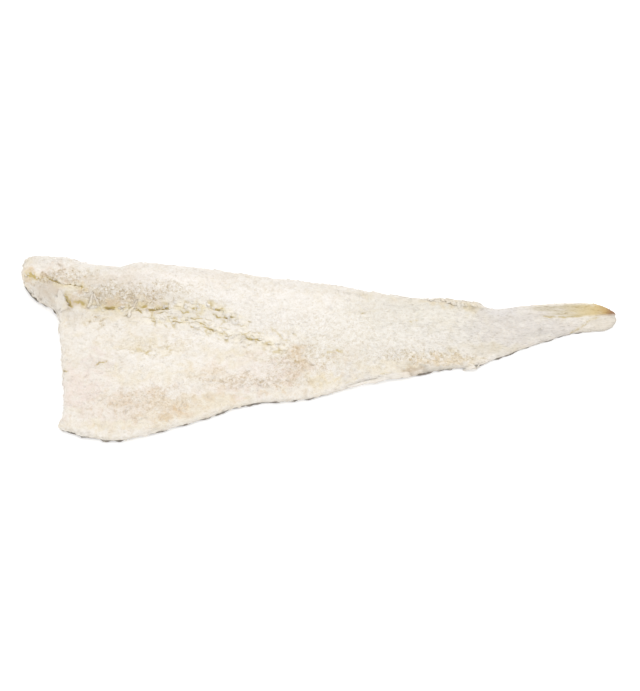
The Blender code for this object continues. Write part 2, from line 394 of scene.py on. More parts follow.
# How high the skin reaches up the back of the fish, as (x, height).
SKIN_LINE = [(-281, 9), (-250, 11), (-200, 12), (-110, 12.5), (10, 11), (40, 7), (110, 5), (280, 2.5)]

# Bare skin, without flesh or fluff, as (x, y, half length, half width).
BARE_PATCHES = [(173, 40, 21, 7)]

# Stains and kinds of surface, as (x, y, half length, half width, strength).
TAN_STAINS = [
    (-129, -67, 14, 6.5, 1.0), (-139, -72, 6, 4, 0.8), (-94.6, -20, 6, 5, 0.7), (-88, -45, 6, 4, 0.6),
    (-174, -59, 8, 5, 0.4), (-159, -57, 36, 11, 0.3), (-98, -52.5, 5, 4, 0.5), (-163.5, -73, 7, 3, 0.5),
    (-19, -8, 8, 9, 0.75), (-25, -31.5, 6, 5, 0.5), (-13, -20, 6, 7, 0.6), (-57, -31, 6, 4, 0.4),
    (30, -9, 14, 7, 0.3), (108, -13, 28, 6, 0.55), (88, -24, 14, 4, 0.9), (-62, -12, 9, 5, 0.3),
    (-261, 66, 12, 4, 0.9), (-268, 69, 7, 6, 1.0), (-219, 53, 4, 4, 1.0), (-191, 41, 8, 3, 0.9),
    (-152, 40, 17, 2.2, 0.8), (-224, 43, 8, 4, 0.65), (-150, 49, 12, 4, 0.5), (-190, 61, 38, 5, 0.3),
    (-176, 45, 30, 3, 0.5), (-243, 57, 14, 5, 0.6), (-252, 55, 16, 8, 0.5), (-276, 72, 6, 9, 0.6),
    (122, 47, 24, 4, 0.25), (-20, -26, 12, 5, 0.5),
]
YELLOW_STAINS = [
    (6, -33, 15, 7, 1.0), (42, 30.5, 5, 3, 0.5), (90, -17, 13, 7, 0.8), (126, -7, 10, 8, 0.7),
    (60, -20, 26, 7, 0.5), (-157, -1, 32, 10, 0.5), (-124, 32, 38, 9, 0.75), (-60, 7, 26, 8, 0.6),
    (119, 47, 24, 4.5, 1.0), (142, 43, 15, 5, 1.0), (-178, 42, 46, 4, 0.7), (-232, 45, 6, 5, 1.0),
    (-275, 86, 6, 10, 0.6), (-122, -31, 60, 12, 0.65), (-105, -58, 52, 10, 0.65), (-80, -14, 26, 9, 0.55),
    (112, -11, 34, 6, 1.0), (165, 1, 34, 5, 0.4), (258, 26, 20, 7, 0.5), (-180, 33, 36, 5, 0.6),
    (-207, 28, 14, 4, 0.6), (-110, -72, 60, 6, 0.6), (-180, -80, 40, 5, 0.6), (-272, 70, 8, 5, 1.0),
    (-98, 25, 34, 9, 0.6),
]
GREY_PATCHES = [
    (150, -12, 30, 8, 0.3), (-205, 55, 34, 8, 0.35), (200, 20, 70, 22, 0.9), (60, 33, 30, 8, 0.3),
    (-66, 48, 26, 9, 0.35), (130, 6, 26, 12, 0.5), (92, 19, 36, 9, 0.35), (150, 18, 26, 14, 0.8),
    (46, -33, 34, 4, 0.5), (30, -23, 24, 5, 0.3), (-255, 56, 14, 8, 0.35), (173, 41, 20, 8, 0.75),
    (-279, 78, 4, 12, 0.6), (120, 10, 30, 6, 0.4),
]
MOTTLED = [(-150, -62, 70, 22, 1.0), (-70, -40, 60, 20, 0.8), (0, -20, 50, 16, 0.7), (-240, 62, 40, 20, 0.5)]
GREENISH_PATCHES = [
    (93, 36, 58, 13, 0.9), (60, 10, 90, 30, 0.7), (-40, 28, 40, 10, 0.4), (120, 22, 34, 10, 0.6),
]
PALE_PATCHES = [
    (-165, -9, 26, 6, 1.0), (-60, 45, 90, 14, 0.9), (-30, 24, 70, 12, 0.9), (-136, 64, 46, 14, 0.8),
    (-208, 17, 22, 14, 0.5), (-90, 8, 60, 6, 0.9), (10, 15, 60, 14, 0.7), (-120, 31, 60, 9, 0.7),
    (-60, -26, 30, 12, 0.5), (-120, -20, 60, 8, 0.7), (-200, 85, 70, 8, 0.9), (-110, 81, 70, 8, 0.9),
    (-15, 68, 50, 10, 1.0), (8, -23, 20, 6, 0.6), (-130, -41, 50, 8, 0.6), (-110, 32, 60, 13, 1.0),
    (-70, 20, 40, 13, 1.0), (-40, 8, 24, 9, 1.0), (60, -8, 60, 7, 0.5), (-92, 16, 24, 9, 1.0),
    (100, 5, 60, 9, 0.5),
]
SPECKLED = [
    (-170, 50, 50, 8, 0.8), (-238, 66, 32, 7, 0.7), (-155, -58, 50, 15, 0.25), (-15, -14, 34, 16, 0.4),
    (-150, -2, 30, 9, 0.35), (105, -10, 52, 9, 0.75), (-205, 28, 14, 4, 0.6), (60, 5, 120, 30, 0.15),
    (-60, -35, 60, 8, 0.4), (-28, -24, 20, 8, 0.4),
]
ROSY = [
    (-214, -45, 22, 22, 1.0), (-150, -55, 50, 16, 0.5), (-78, -32, 40, 14, 1.0), (-30, -26, 16, 10, 1.0),
    (-60, -20, 20, 8, 0.8), (-200, -13, 22, 9, 0.7), (-180, -70, 36, 8, 0.6), (-140, 66, 60, 10, 0.5),
    (60, 0, 50, 8, 0.3), (200, 22, 50, 16, 0.5), (95, 36, 40, 9, 0.5), (-255, 70, 24, 12, 0.5),
]
# Spots of painted shade, as (x, y, half length, half width, strength).
SHADED = [
    (-185, 62, 42, 6, 0.22), (172, -1, 28, 6, 0.38), (212, 14, 24, 6, 0.32), (128, -18, 20, 4, 0.3),
    (-240, 42, 7, 9, 0.35), (-256, 60, 22, 10, 0.4), (-250, 50, 16, 8, 0.4), (98, -23, 26, 4, 0.75),
    (-200, -18, 30, 8, 0.12),
]
GOLDEN_ALONG, GOLDEN_WITHIN = [BONE_LINE, RIB_LINE, COLLAR_FOLD], 4


def spots(points, patches, wander=3.0):
    """How strongly each point lies in one of the patches, from 0 to 1, with frayed borders."""
    frayed = shaken_by(points, 1.4 * wander, (9, 31), (7, 57))
    total = np.zeros(len(points))
    for x, y, half_length, half_width, *strength in patches:
        away = ((frayed[:, 0] - x) / half_length) ** 2 + ((frayed[:, 1] - y) / half_width) ** 2
        total = np.maximum(total, (strength[0] if strength else 1) * np.exp(-(away**2)))
    return total


def above(points, line):
    """How far each point lies towards the back from a line that runs along the fish."""
    xs, ys = np.array(line, float).T
    return points[:, 1] - np.interp(points[:, 0], xs, ys)


def is_ridge(points):
    """1 on the dried ridge along the back edge of the tail, and 0 elsewhere."""
    return ease((above(points, RIDGE_FOOT) + 1) / 3) * ease((points[:, 0] - 183) / 12)


def is_web(points):
    """1 on the bare web of skin beside the last of the flesh, and 0 elsewhere."""
    off_flesh = ease(-above(points, FLESH_BORDER) / 1.5)
    return off_flesh * ease((points[:, 0] - 222) / 8) * (1 - is_ridge(points))


def under_skin(points):
    """1 on the back wall where the skin wraps up over it, and 0 elsewhere."""
    skin_line = np.interp(points[:, 0], *np.array(SKIN_LINE, float).T)
    return ease((skin_line + 1 - points[:, 2]) / 2.5) * (across(points) > 0.8)


def is_bare(points):
    """1 where the skin shows with no flesh on it."""
    return np.maximum(spots(points, BARE_PATCHES, 1.5), is_web(points))


# %% [markdown]
# ## Carving the furrows and cracks
#
# Dried flesh parts along its grain. A crack is a narrow groove that wanders, gapes here and closes there,
# and has a raised lip of torn flesh above it. We measure how far every vertex is from the crack's line and
# lower it by a bell curve. A line that is shaken with noise first gives a torn edge, not a drawn one.

# %% Carving the furrows and cracks
def refine(piece, lines, within):
    """Cuts the faces near these lines into four."""
    only(piece)
    middles = np.array([tuple(face.center) for face in piece.data.polygons]) / MM
    near = np.minimum.reduce([from_line(middles, line)[0] for line in lines]) < within
    faces_up = np.array([face.normal.z for face in piece.data.polygons]) > 0
    piece.data.polygons.foreach_set("select", near & faces_up)
    piece.data.vertices.foreach_set("select", np.zeros(len(piece.data.vertices), bool))
    piece.data.edges.foreach_set("select", np.zeros(len(piece.data.edges), bool))
    bpy.ops.object.mode_set(mode="EDIT")
    bpy.ops.mesh.select_mode(type="FACE")
    bpy.ops.mesh.subdivide(number_cuts=1)
    bpy.ops.object.mode_set(mode="OBJECT")
    print("refined", near.sum(), "faces")


for within in REFINED_WITHIN:
    refine(flesh, [BONE_LINE, RIB_LINE, COLLAR_FOLD], within)
points = points_of(flesh)
facing = normals_of(flesh)
on_top = ease((facing[:, 2] + 0.1) / 0.6)
for line, filling, half_width in FILLINGS:
    near, reached, _, length = from_line(points, line)
    ends = ease(reached / 22) * ease((length - reached) / 22)
    points[:, 2] += on_top * filling * ends * bell(near, half_width)
shaken = shaken_by(points, CRACK_WANDERS, (3.5, 3), (3.5, 11))
carved = np.zeros(len(points))
lips = np.zeros(len(points))
stained = np.zeros(len(points))
for number, (line, depth, half_width, gaping) in enumerate(CRACKS):
    near, reached, side_of, length = from_line(shaken, line)
    ends = ease(reached / CRACK_FADE + 0.3) * ease((length - reached) / CRACK_FADE + 0.3)
    open_here = ends * ease(0.5 + 1.6 * (waves(points, 6, 40 + number) + gaping - 0.5))
    carved = np.maximum(carved, depth * open_here * bell(near, half_width))
    lip = bell(near - 2.4 * half_width, 1.3 * half_width) * open_here * (0.6 - 0.4 * side_of)
    lips = np.maximum(lips, 0.35 * depth * lip)
    stain = ends * np.minimum(1, depth / 2.5) * bell(near, 1.2 + half_width)
    stained = np.maximum(stained, stain)
points[:, 2] += on_top * (lips - carved)
move_points(flesh, points)
print("cracks:", len(CRACKS), "deepest", round(carved.max(), 1), "mm;", triangles(flesh), "triangles")

# %% [markdown]
# ## Torn, flaky flesh
#
# Beside the bone line the flesh has come up in flakes that overlap like roof tiles. A tread and riser curve
# does the small ones: a gentle slope is cut into flat treads with short steep risers, all facing the belly.
# The large plates are the cells of a Voronoi pattern that is drawn out along the fish. Each plate has its
# own level and leans up towards the belly, and the gap between two plates is carved like a crack.

# %% Torn, flaky flesh
FLAKE_RISE, FLAKE_TREAD = 0.7, 4.6
PLATE_LONG, PLATE_WIDE = 12, 6.5
PLATE_GAP, PLATE_LEVEL, PLATE_LEAN = 0.5, 0.7, 0.6
MUSCLE_RISE, MUSCLE_TREAD = 0.55, 8.5


def treads(rise, riser=0.22):
    """Turns a rise into flat treads with steep risers, less the rise itself: a saw's teeth."""
    whole = np.floor(rise)
    return whole + ease((rise - whole - 1 + riser) / riser) - rise


def plates(points, chosen):
    """For the chosen points: how far in from the gap each lies, its plate's level, and how it leans."""
    inland, level, lean = np.ones(len(points)), np.zeros(len(points)), np.zeros(len(points))
    frayed = shaken_by(points, 1.6, (4, 21), (3, 22))
    for index in np.flatnonzero(chosen):
        x, y, _ = frayed[index]
        distances, centres = noise.voronoi(Vector((x / PLATE_LONG, (y + 0.35 * x) / PLATE_WIDE, 0.4)))
        inland[index] = distances[1] - distances[0]
        level[index] = noise.noise(centres[0] * 9.1)
        lean[index] = centres[0].y - (y + 0.35 * x) / PLATE_WIDE
    return inland, level, lean


near_bone = from_line(points, BONE_LINE)[0]
near_rib = from_line(points, RIB_LINE)[0]
flaky = np.maximum.reduce([
    bell(near_bone, 6) * ease((points[:, 0] + 165) / 30) * 0.8,
    0.9 * bell(near_rib, 8),
    0.6 * spots(points, [(-150, -6, 28, 8), (-92, 22, 34, 12), (-32, 8, 26, 9)]),
])
flaky *= ease((60 - points[:, 0]) / 80)
torn = points[:, 1] / FLAKE_TREAD + 1.5 * waves(points, 8, 5, 1.5) + 0.7 * waves(points, 3.2, 6, 1.2)
flakes_up = FLAKE_RISE * flaky * treads(torn)
inland, level, lean = plates(points, flaky > 0.05)
flakes_up += flaky * (PLATE_LEVEL * level + PLATE_LEAN * lean * ease(inland / 0.3))
gaps = PLATE_GAP * ease(1.6 * flaky) * bell(inland, 0.13)
gaps *= ease(0.5 + 1.8 * waves(points, 7, 23))
flakes_up -= gaps
carved = np.maximum(carved, gaps)

# Further along, the muscle's own blocks show as low steps that slant back from the middle of the fish.
middle = 0.5 + 0.04 * waves(points, 30, 8)
slanting = (points[:, 0] - 55 * np.abs(across(points) - middle)) / MUSCLE_TREAD + 1.1 * waves(points, 9, 9)
muscle = ease((points[:, 0] + 110) / 60) * ease((175 - points[:, 0]) / 60) * (1 - flaky)
blocks_up = MUSCLE_RISE * muscle * treads(slanting, 0.35)
points[:, 2] += on_top * (flakes_up + blocks_up)
print("flaky over", round(100 * float((flaky > 0.5).mean())), "% of the net")

# %% [markdown]
# ## The crust of fluff
#
# Salt draws out the water, and the surface dries to a matted fluff like felted wool. It is noise in several
# sizes: broad lumps, puffs as big as a pea or a peppercorn, and a nap of short matted fibres. The fibres are
# noise that is stretched one way, and in each patch of flesh they lie another way. The tail has hardly any
# fluff, and there the grain runs in long strings towards the tip.

# %% The crust of fluff
LUMPS = [(15, 0.8, 1.4), (7.5, 0.5, 1.4)]  # size, height and stretch
PUFFS = (3.8, 0.4, 1.4)
NAP_WAYS = [-60, -25, 10, 45]  # degrees from the length of the fish
NAP = (1.7, 0.5, 2.4)
STRINGS = (2.2, 0.4, 9)
PITS = (3.1, 0.8)
RAGGED = [(15, 0.8), (6, 1.5), (2.9, 1.6)]  # how far the cut edges stand out and in


def matted(points, size, stretch):
    """Stretched noise that runs four ways, each in its own patches."""
    total = np.zeros(len(points))
    weights = np.zeros(len(points))
    for layer, degrees in enumerate(NAP_WAYS):
        way = math.radians(degrees)
        cosine, sine = math.cos(way), math.sin(way)
        turned = points @ np.array([[cosine, -sine, 0], [sine, cosine, 0], [0, 0, 1]])
        weight = np.exp(5 * waves(points, 11, 100 + layer))
        total += weight * waves(turned, size, 110 + layer, stretch)
        weights += weight
    return total / weights


thick = ease((points[:, 2] - 1.5) / 7)
bare = is_bare(points)
ridge = is_ridge(points)
tail = ease((points[:, 0] - 120) / 80)
rough = spots(points, SPECKLED, 6)
fluffy = (1 - bare) * (1 - 0.62 * tail) * (0.35 + 0.65 * thick) * (0.8 + 0.4 * rough)
rise = np.zeros(len(points))
for layer, (size, height, stretch) in enumerate(LUMPS):
    rise += height * waves(points, size, 60 + layer, stretch)
rise += PUFFS[1] * (0.5 - 2 * np.abs(waves(points, PUFFS[0], 70, PUFFS[2])))
rise += NAP[1] * matted(points, NAP[0], NAP[2])
rise -= PITS[1] * ease((waves(points, PITS[0], 90, 1.8) - 0.42) / 0.2)
muscle_way = np.stack([points[:, 0], 62 * across(points), points[:, 2]], 1)
strings = STRINGS[1] * (0.4 - 2 * np.abs(waves(muscle_way, STRINGS[0], 95, STRINGS[2])))
rise = rise * fluffy + strings * tail * (1 - bare) * (1 - 0.5 * ridge)
covered_up = under_skin(points)  # there the flesh keeps inside the skin
near_edge = to_edge(points)[0]

BELOW_FLESH, INSIDE_SKIN = 0.7, 1.3  # the flesh lies on the skin and inside it
walls = (1 - ease(np.abs(facing[:, 2]) / 0.8)) * ease(1 - near_edge / 5)
ragged = sum(height * waves(points, size, 98) for size, height in RAGGED) * (1 - 0.6 * tail)
rise = np.where(facing[:, 2] < -0.4, 0, rise)
points += facing * (rise * (1 - covered_up) - INSIDE_SKIN * covered_up)[:, None]
points[:, :2] += facing[:, :2] * (ragged * walls * (1 - covered_up))[:, None]
points[:, 2] = np.maximum(points[:, 2], BELOW_FLESH)
move_points(flesh, points)
only(flesh)
bpy.ops.object.shade_smooth()
relief = rise + flakes_up + blocks_up + lips - carved
print("fluff from", round(rise.min(), 1), "to", round(rise.max(), 1), "mm")


# %% [markdown]
# ## Marks for the finishes
#
# A finish has to know where it is. We paint that on to the vertices as named numbers from 0 to 1, which the
# materials read: how deep in a furrow the flesh lies, where it is stained tan, yellow or grey, where painted
# shade darkens its edges, where it is bare skin, and where it is the amber ridge.


# %% Marks for the finishes
def mark(piece, name, values):
    """Keeps one number for each vertex of a piece under a name."""
    layer = piece.data.attributes.new(name, "FLOAT", "POINT")
    layer.data.foreach_set("value", np.asarray(values, float))


def mark_places(piece, freshly_torn=False):
    """Marks the stains, the speckled flesh, the painted shade of the edges and spots, the bare skin and the
    amber ridge on a piece.
    """
    points = points_of(piece)
    worn_and_shaded = 0.25 if freshly_torn else 1
    mark(piece, "speckled", worn_and_shaded * spots(points, SPECKLED, 7))
    mark(piece, "thin", spots(points, BARE_PATCHES, 1.5))
    mark(piece, "tan", spots(points, TAN_STAINS, 5))
    mark(piece, "yellow", spots(points, YELLOW_STAINS, 6))
    mark(piece, "mottled", 0.15 + 0.85 * spots(points, MOTTLED, 10))
    near = np.minimum.reduce([from_line(points, line)[0] for line in GOLDEN_ALONG])
    mark(piece, "golden", bell(near, GOLDEN_WITHIN) * ease(0.6 + 1.5 * waves(points, 6, 180)))
    mark(piece, "rosy", spots(points, ROSY, 14))
    mark(piece, "grey", worn_and_shaded * spots(points, GREY_PATCHES, 8))
    mark(piece, "greenish", spots(points, GREENISH_PATCHES, 12))
    mark(piece, "pale", spots(points, PALE_PATCHES, 12))
    mark(piece, "lengthwise", ease((points[:, 0] - 10) / 130))
    from_rim = to_edge(points)[0]
    # Painted shade: the low wall at the belly edge, a band along the back edge, and the shaded spots.
    low_edge = ease((2.8 - points[:, 2]) / 2) * ease(1.3 - from_rim / 3) * (across(points) < 0.5) * 0.8
    back_edge = 0.3 * ease(1.3 - from_rim / 16) * (across(points) > 0.6)
    shaded = np.maximum.reduce([low_edge, back_edge, spots(points, SHADED, 6)])
    mark(piece, "shaded", worn_and_shaded * shaded * (1 - is_ridge(points)))
    mark(piece, "bare", is_web(points))
    inland = np.maximum(ease((from_rim - 0.8) / 2.4), ease((points[:, 0] - 252) / 10))
    streaky = ease(0.7 + 1.3 * waves(points, 2.2, 190, 9) + np.maximum(points[:, 0] - 225, 0) / 70)
    mark(piece, "amber", is_ridge(points + 1.2 * waves(points, 6, 191, 2)[:, None]) * inland * streaky)


mark_places(flesh)
# The cracks' ochre grows with how deep they are carved: a stain and painted shade at once.
mark(flesh, "deep", np.maximum(ease((carved - 0.06) / 0.75), 0.3 * stained))
# Raised tops and the rim of the flesh get chalk: paler dry fluff and a painted highlight together.
rim = ease(1.2 - near_edge / 4) * (points[:, 0] < 180)
mark(flesh, "raised", np.maximum(ease((relief + 0.3) / 1.8), rim))
on_plate = ease(1.5 * flaky) * ease((inland - 0.1) / 0.25)
mark(flesh, "plate", on_plate * ease(0.8 + 0.6 * level) * (1 - 0.6 * rough))
mark(flesh, "tone", 0.5 + 0.35 * waves(points, 2.1, 97, 1.6))

# %% [markdown]
# ## Effects that several finishes share
#
# Blotches and matted fibre show on the flesh and on the skin, and specks of salt on the skin. Each is a node
# group that is built once and given its own values wherever it is used. Sizes go in as millimetres.


# %% Effects that several finishes share
def effect(name, numbers, outputs):
    """A new node group with inputs that are numbers, each with a usual value, and the outputs named."""
    group = bpy.data.node_groups.new(name, "ShaderNodeTree")
    for label, value in numbers.items():
        socket = group.interface.new_socket(label, in_out="INPUT", socket_type="NodeSocketFloat")
        socket.default_value = value
    for label in outputs:
        group.interface.new_socket(label, in_out="OUTPUT", socket_type="NodeSocketFloat")
    return group, group.nodes.new("NodeGroupInput"), group.nodes.new("NodeGroupOutput")


def node(tree, kind, settings=(), **inputs):
    """Adds a node, sets its own settings, and sets or links its inputs."""
    made = tree.nodes.new("ShaderNode" + kind)
    for name, value in dict(settings).items():
        setattr(made, name, value)
    for name, value in inputs.items():
        plug(tree, made.inputs[name.replace("_", " ")], value)
    return made


def plug(tree, socket, value):
    """Links an output to a socket, or sets the socket to a value."""
    if isinstance(value, bpy.types.NodeSocket):
        tree.links.new(value, socket)
    else:
        socket.default_value = value


def reckon(tree, operation, *values, clamp=False):
    """The output of a Math node."""
    made = tree.nodes.new("ShaderNodeMath")
    made.operation = operation
    made.use_clamp = clamp
    for socket, value in zip(made.inputs, values):
        plug(tree, socket, value)
    return made.outputs[0]


def per_metre(tree, millimetres):
    """Turns a size in millimetres into a texture's scale."""
    return reckon(tree, "DIVIDE", 1000, millimetres)


def blotches():
    """Soft, ragged patches. Mask is 0 to 1."""
    tree, given, out = effect("blotches", {"Size": 20, "Cover": 0.5, "Softness": 0.2}, ["Mask"])
    here = node(tree, "TexCoord").outputs["Object"]
    cloud = node(
        tree, "TexNoise", Vector=here, Scale=per_metre(tree, given.outputs["Size"]), Detail=5.0, Roughness=0.6
    )
    over = reckon(tree, "ADD", cloud.outputs["Fac"], given.outputs["Cover"])
    over = reckon(tree, "SUBTRACT", over, 1.0)
    share = reckon(tree, "ADD", reckon(tree, "DIVIDE", over, given.outputs["Softness"]), 0.5, clamp=True)
    tree.links.new(share, out.inputs["Mask"])
    return tree


def matted_fibre():
    """Short fibres felted together, Spread degrees either way from the fish's length. Outputs are 0 to 1."""
    usual = {"Size": 1.0, "Stretch": 4.0, "Turbulence": 1.5, "Spread": 30.0}
    tree, given, out = effect("matted_fibre", usual, ["Height", "Shade"])
    here = node(tree, "TexCoord").outputs["Object"]
    heights = []
    for side in (-1, 1):
        angle = reckon(tree, "MULTIPLY", given.outputs["Spread"], math.radians(side))
        turned = node(tree, "VectorRotate", {"rotation_type": "Z_AXIS"}, Vector=here, Angle=angle)
        shorter = reckon(tree, "DIVIDE", 1, given.outputs["Stretch"])
        squeeze = node(tree, "CombineXYZ", X=shorter, Y=1.0, Z=1.0)
        drawn = node(tree, "VectorMath", {"operation": "MULTIPLY"})
        tree.links.new(turned.outputs[0], drawn.inputs[0])
        tree.links.new(squeeze.outputs[0], drawn.inputs[1])
        strands = node(
            tree, "TexNoise", Vector=drawn.outputs[0], Scale=per_metre(tree, given.outputs["Size"]),
            Detail=3.0, Roughness=0.6, Distortion=given.outputs["Turbulence"],
        )
        heights.append(strands.outputs["Fac"])
    both = reckon(tree, "MAXIMUM", *heights)
    tree.links.new(both, out.inputs["Height"])
    shade = node(tree, "MapRange", Value=both, From_Min=0.38, From_Max=0.72)
    tree.links.new(shade.outputs[0], out.inputs["Shade"])
    return tree


def salt_specks():
    """Grains of dried salt, some here and some there. Mask and Height are 0 to 1."""
    tree, given, out = effect("salt_specks", {"Size": 1.0, "Amount": 0.4}, ["Mask", "Height"])
    here = node(tree, "TexCoord").outputs["Object"]
    scale = per_metre(tree, given.outputs["Size"])
    cells = node(tree, "TexVoronoi", Vector=here, Scale=scale, Randomness=1.0)
    chance = node(tree, "SeparateColor", Color=cells.outputs["Color"]).outputs[0]
    chosen = reckon(tree, "LESS_THAN", chance, given.outputs["Amount"])
    off_middle = reckon(tree, "MULTIPLY", cells.outputs["Distance"], 1.9)
    round_top = reckon(tree, "SUBTRACT", 1.0, off_middle, clamp=True)
    height = reckon(tree, "MULTIPLY", round_top, chosen)
    tree.links.new(height, out.inputs["Height"])
    tree.links.new(reckon(tree, "MULTIPLY", height, 2.2, clamp=True), out.inputs["Mask"])
    return tree


EFFECTS = {made.name: made for made in (blotches(), matted_fibre(), salt_specks())}
print("effects:", ", ".join(EFFECTS))


# %% [markdown]
# ## The finish of the flesh
#
# Dried cod is not white: it is an off-white that drifts from cream to grey, deeper and yellower in every
# furrow and chalkier on what stands up. The yellow of the furrows comes with painted shade, the chalk of the
# tops with a painted highlight, and the low and back edges get painted shade too. We lay the colours one over
# the other, each through its own mark, and break every border up with the matted fibre, so that no stain ends
# in a clean line.


# %% The finish of the flesh
class Finish:
    """A material in the making: its node tree, its shader, and the colour laid so far."""

    def __init__(self, name, colour):
        self.material = bpy.data.materials.new(name)
        self.material.use_nodes = True
        self.tree = self.material.node_tree
        self.shader = self.tree.nodes["Principled BSDF"]
        self.colour = node(self.tree, "RGB").outputs[0]
        self.colour.default_value = (*colour, 1)

    def use(self, effect_name, **values):
        """Places one of the shared effects with its own values."""
        placed = self.tree.nodes.new("ShaderNodeGroup")
        placed.node_tree = EFFECTS[effect_name]
        for name, value in values.items():
            placed.inputs[name].default_value = value
        return placed.outputs

    def blotched(self, size, cover, softness):
        """1 in patches of this size in millimetres, and 0 between them."""
        return self.use("blotches", Size=size, Cover=cover, Softness=softness)["Mask"]

    def marked(self, name):
        """A mark that was painted on the piece."""
        return node(self.tree, "Attribute", {"attribute_name": name}).outputs["Fac"]

    def reckon(self, operation, *values, clamp=False):
        """The output of a Math node in this material."""
        return reckon(self.tree, operation, *values, clamp=clamp)

    def times(self, one, other):
        """One value times another."""
        return self.reckon("MULTIPLY", one, other)

    def below(self, value, level, gain):
        """0 where the value is above the level, and rising to 1 by the gain as it falls below it."""
        return self.reckon("MULTIPLY", self.reckon("SUBTRACT", level, value), gain, clamp=True)

    def beyond(self, value, level, gain):
        """0 where the value is under the level, and rising to 1 by the gain as it goes beyond it."""
        return self.reckon("MULTIPLY", self.reckon("SUBTRACT", value, level), gain, clamp=True)

    def lay(self, colour, share, strength=1.0, blend="MIX"):
        """Lays a colour over what is there, where share is 1. MULTIPLY dyes what is there."""
        mix = node(self.tree, "Mix", {"data_type": "RGBA", "blend_type": blend})
        plug(self.tree, mix.inputs[0], self.reckon("MULTIPLY", share, strength, clamp=True))
        plug(self.tree, mix.inputs[6], self.colour)
        plug(self.tree, mix.inputs[7], colour if isinstance(colour, bpy.types.NodeSocket) else (*colour, 1))
        self.colour = mix.outputs[2]

    def raise_up(self, height, millimetres, strength=1.0):
        """Adds a bump of this height over what is there."""
        bump = node(self.tree, "Bump", Height=height, Distance=millimetres * MM, Strength=strength)
        if self.shader.inputs["Normal"].is_linked:
            self.tree.links.new(self.shader.inputs["Normal"].links[0].from_socket, bump.inputs["Normal"])
        self.tree.links.new(bump.outputs[0], self.shader.inputs["Normal"])

    def done(self, roughness, **constants):
        """Connects the colour and sets the shader's own numbers."""
        plug(self.tree, self.shader.inputs["Base Color"], self.colour)
        plug(self.tree, self.shader.inputs["Roughness"], roughness)
        for name, value in constants.items():
            self.shader.inputs[name.replace("_", " ")].default_value = value
        return self.material


CHALK_AND_HIGHLIGHT = (0.80, 0.765, 0.715)  # dry fluff, and a painted highlight on raised tops and on the rim
CREAM = (0.765, 0.703, 0.612)  # the flesh itself
GREY_FLESH = (0.60, 0.57, 0.54)
DUSKY = (0.70, 0.61, 0.48)
YELLOWED = (0.75, 0.655, 0.46)
TANNED = (0.66, 0.50, 0.32)
ROSE = (0.77, 0.672, 0.615)
GREENISH = (0.755, 0.74, 0.665)
GOLDEN = (0.79, 0.69, 0.44)
FURROW_OCHRE = (0.54, 0.42, 0.16)  # deep in the cracks: an ochre stain, and painted shade that grows with their depth
BARE_SKIN = (0.655, 0.60, 0.52)
SALT_WHITE = (0.82, 0.80, 0.75)
PALEST = (0.84, 0.805, 0.765)
WARM_SHADE = (0.68, 0.60, 0.45)  # painted shade in the hollows between the fibres; also darker smudges, flecks and streaks
GREY_SHADE = (0.60, 0.585, 0.55)  # painted shade on the low and back edges and in shaded spots; also darker dashes along the tail's grain
THIN_SKIN = (0.74, 0.705, 0.685)
PLATE_TOP = (0.85, 0.80, 0.71)
DARK_SPECK = (0.66, 0.58, 0.42)
AMBER_RUN = [
    (0.0, GREY_FLESH), (0.17, (0.58, 0.525, 0.43)), (0.41, (0.54, 0.48, 0.36)), (0.65, (0.60, 0.50, 0.30)),
    (0.79, (0.585, 0.455, 0.225)), (0.88, (0.48, 0.32, 0.12)), (0.94, (0.27, 0.13, 0.045)),
]
TAIL_FROM, TAIL_TO = 0.185, 0.281  # where the amber ridge starts and ends, in metres


# What lies where on the flesh: the colour, the mark it follows and its strength, from the first laid on.
STAINS = [
    (ROSE, "rosy", 0.85), (DUSKY, "speckled", 0.3), (GREENISH, "greenish", 0.7), (GREY_FLESH, "grey", 0.8),
    (YELLOWED, "yellow", 0.65), (TANNED, "tan", 0.72), (PALEST, "pale", 0.85), (GOLDEN, "golden", 0.7),
    (BARE_SKIN, "bare", 0.9), (THIN_SKIN, "thin", 0.9),
]


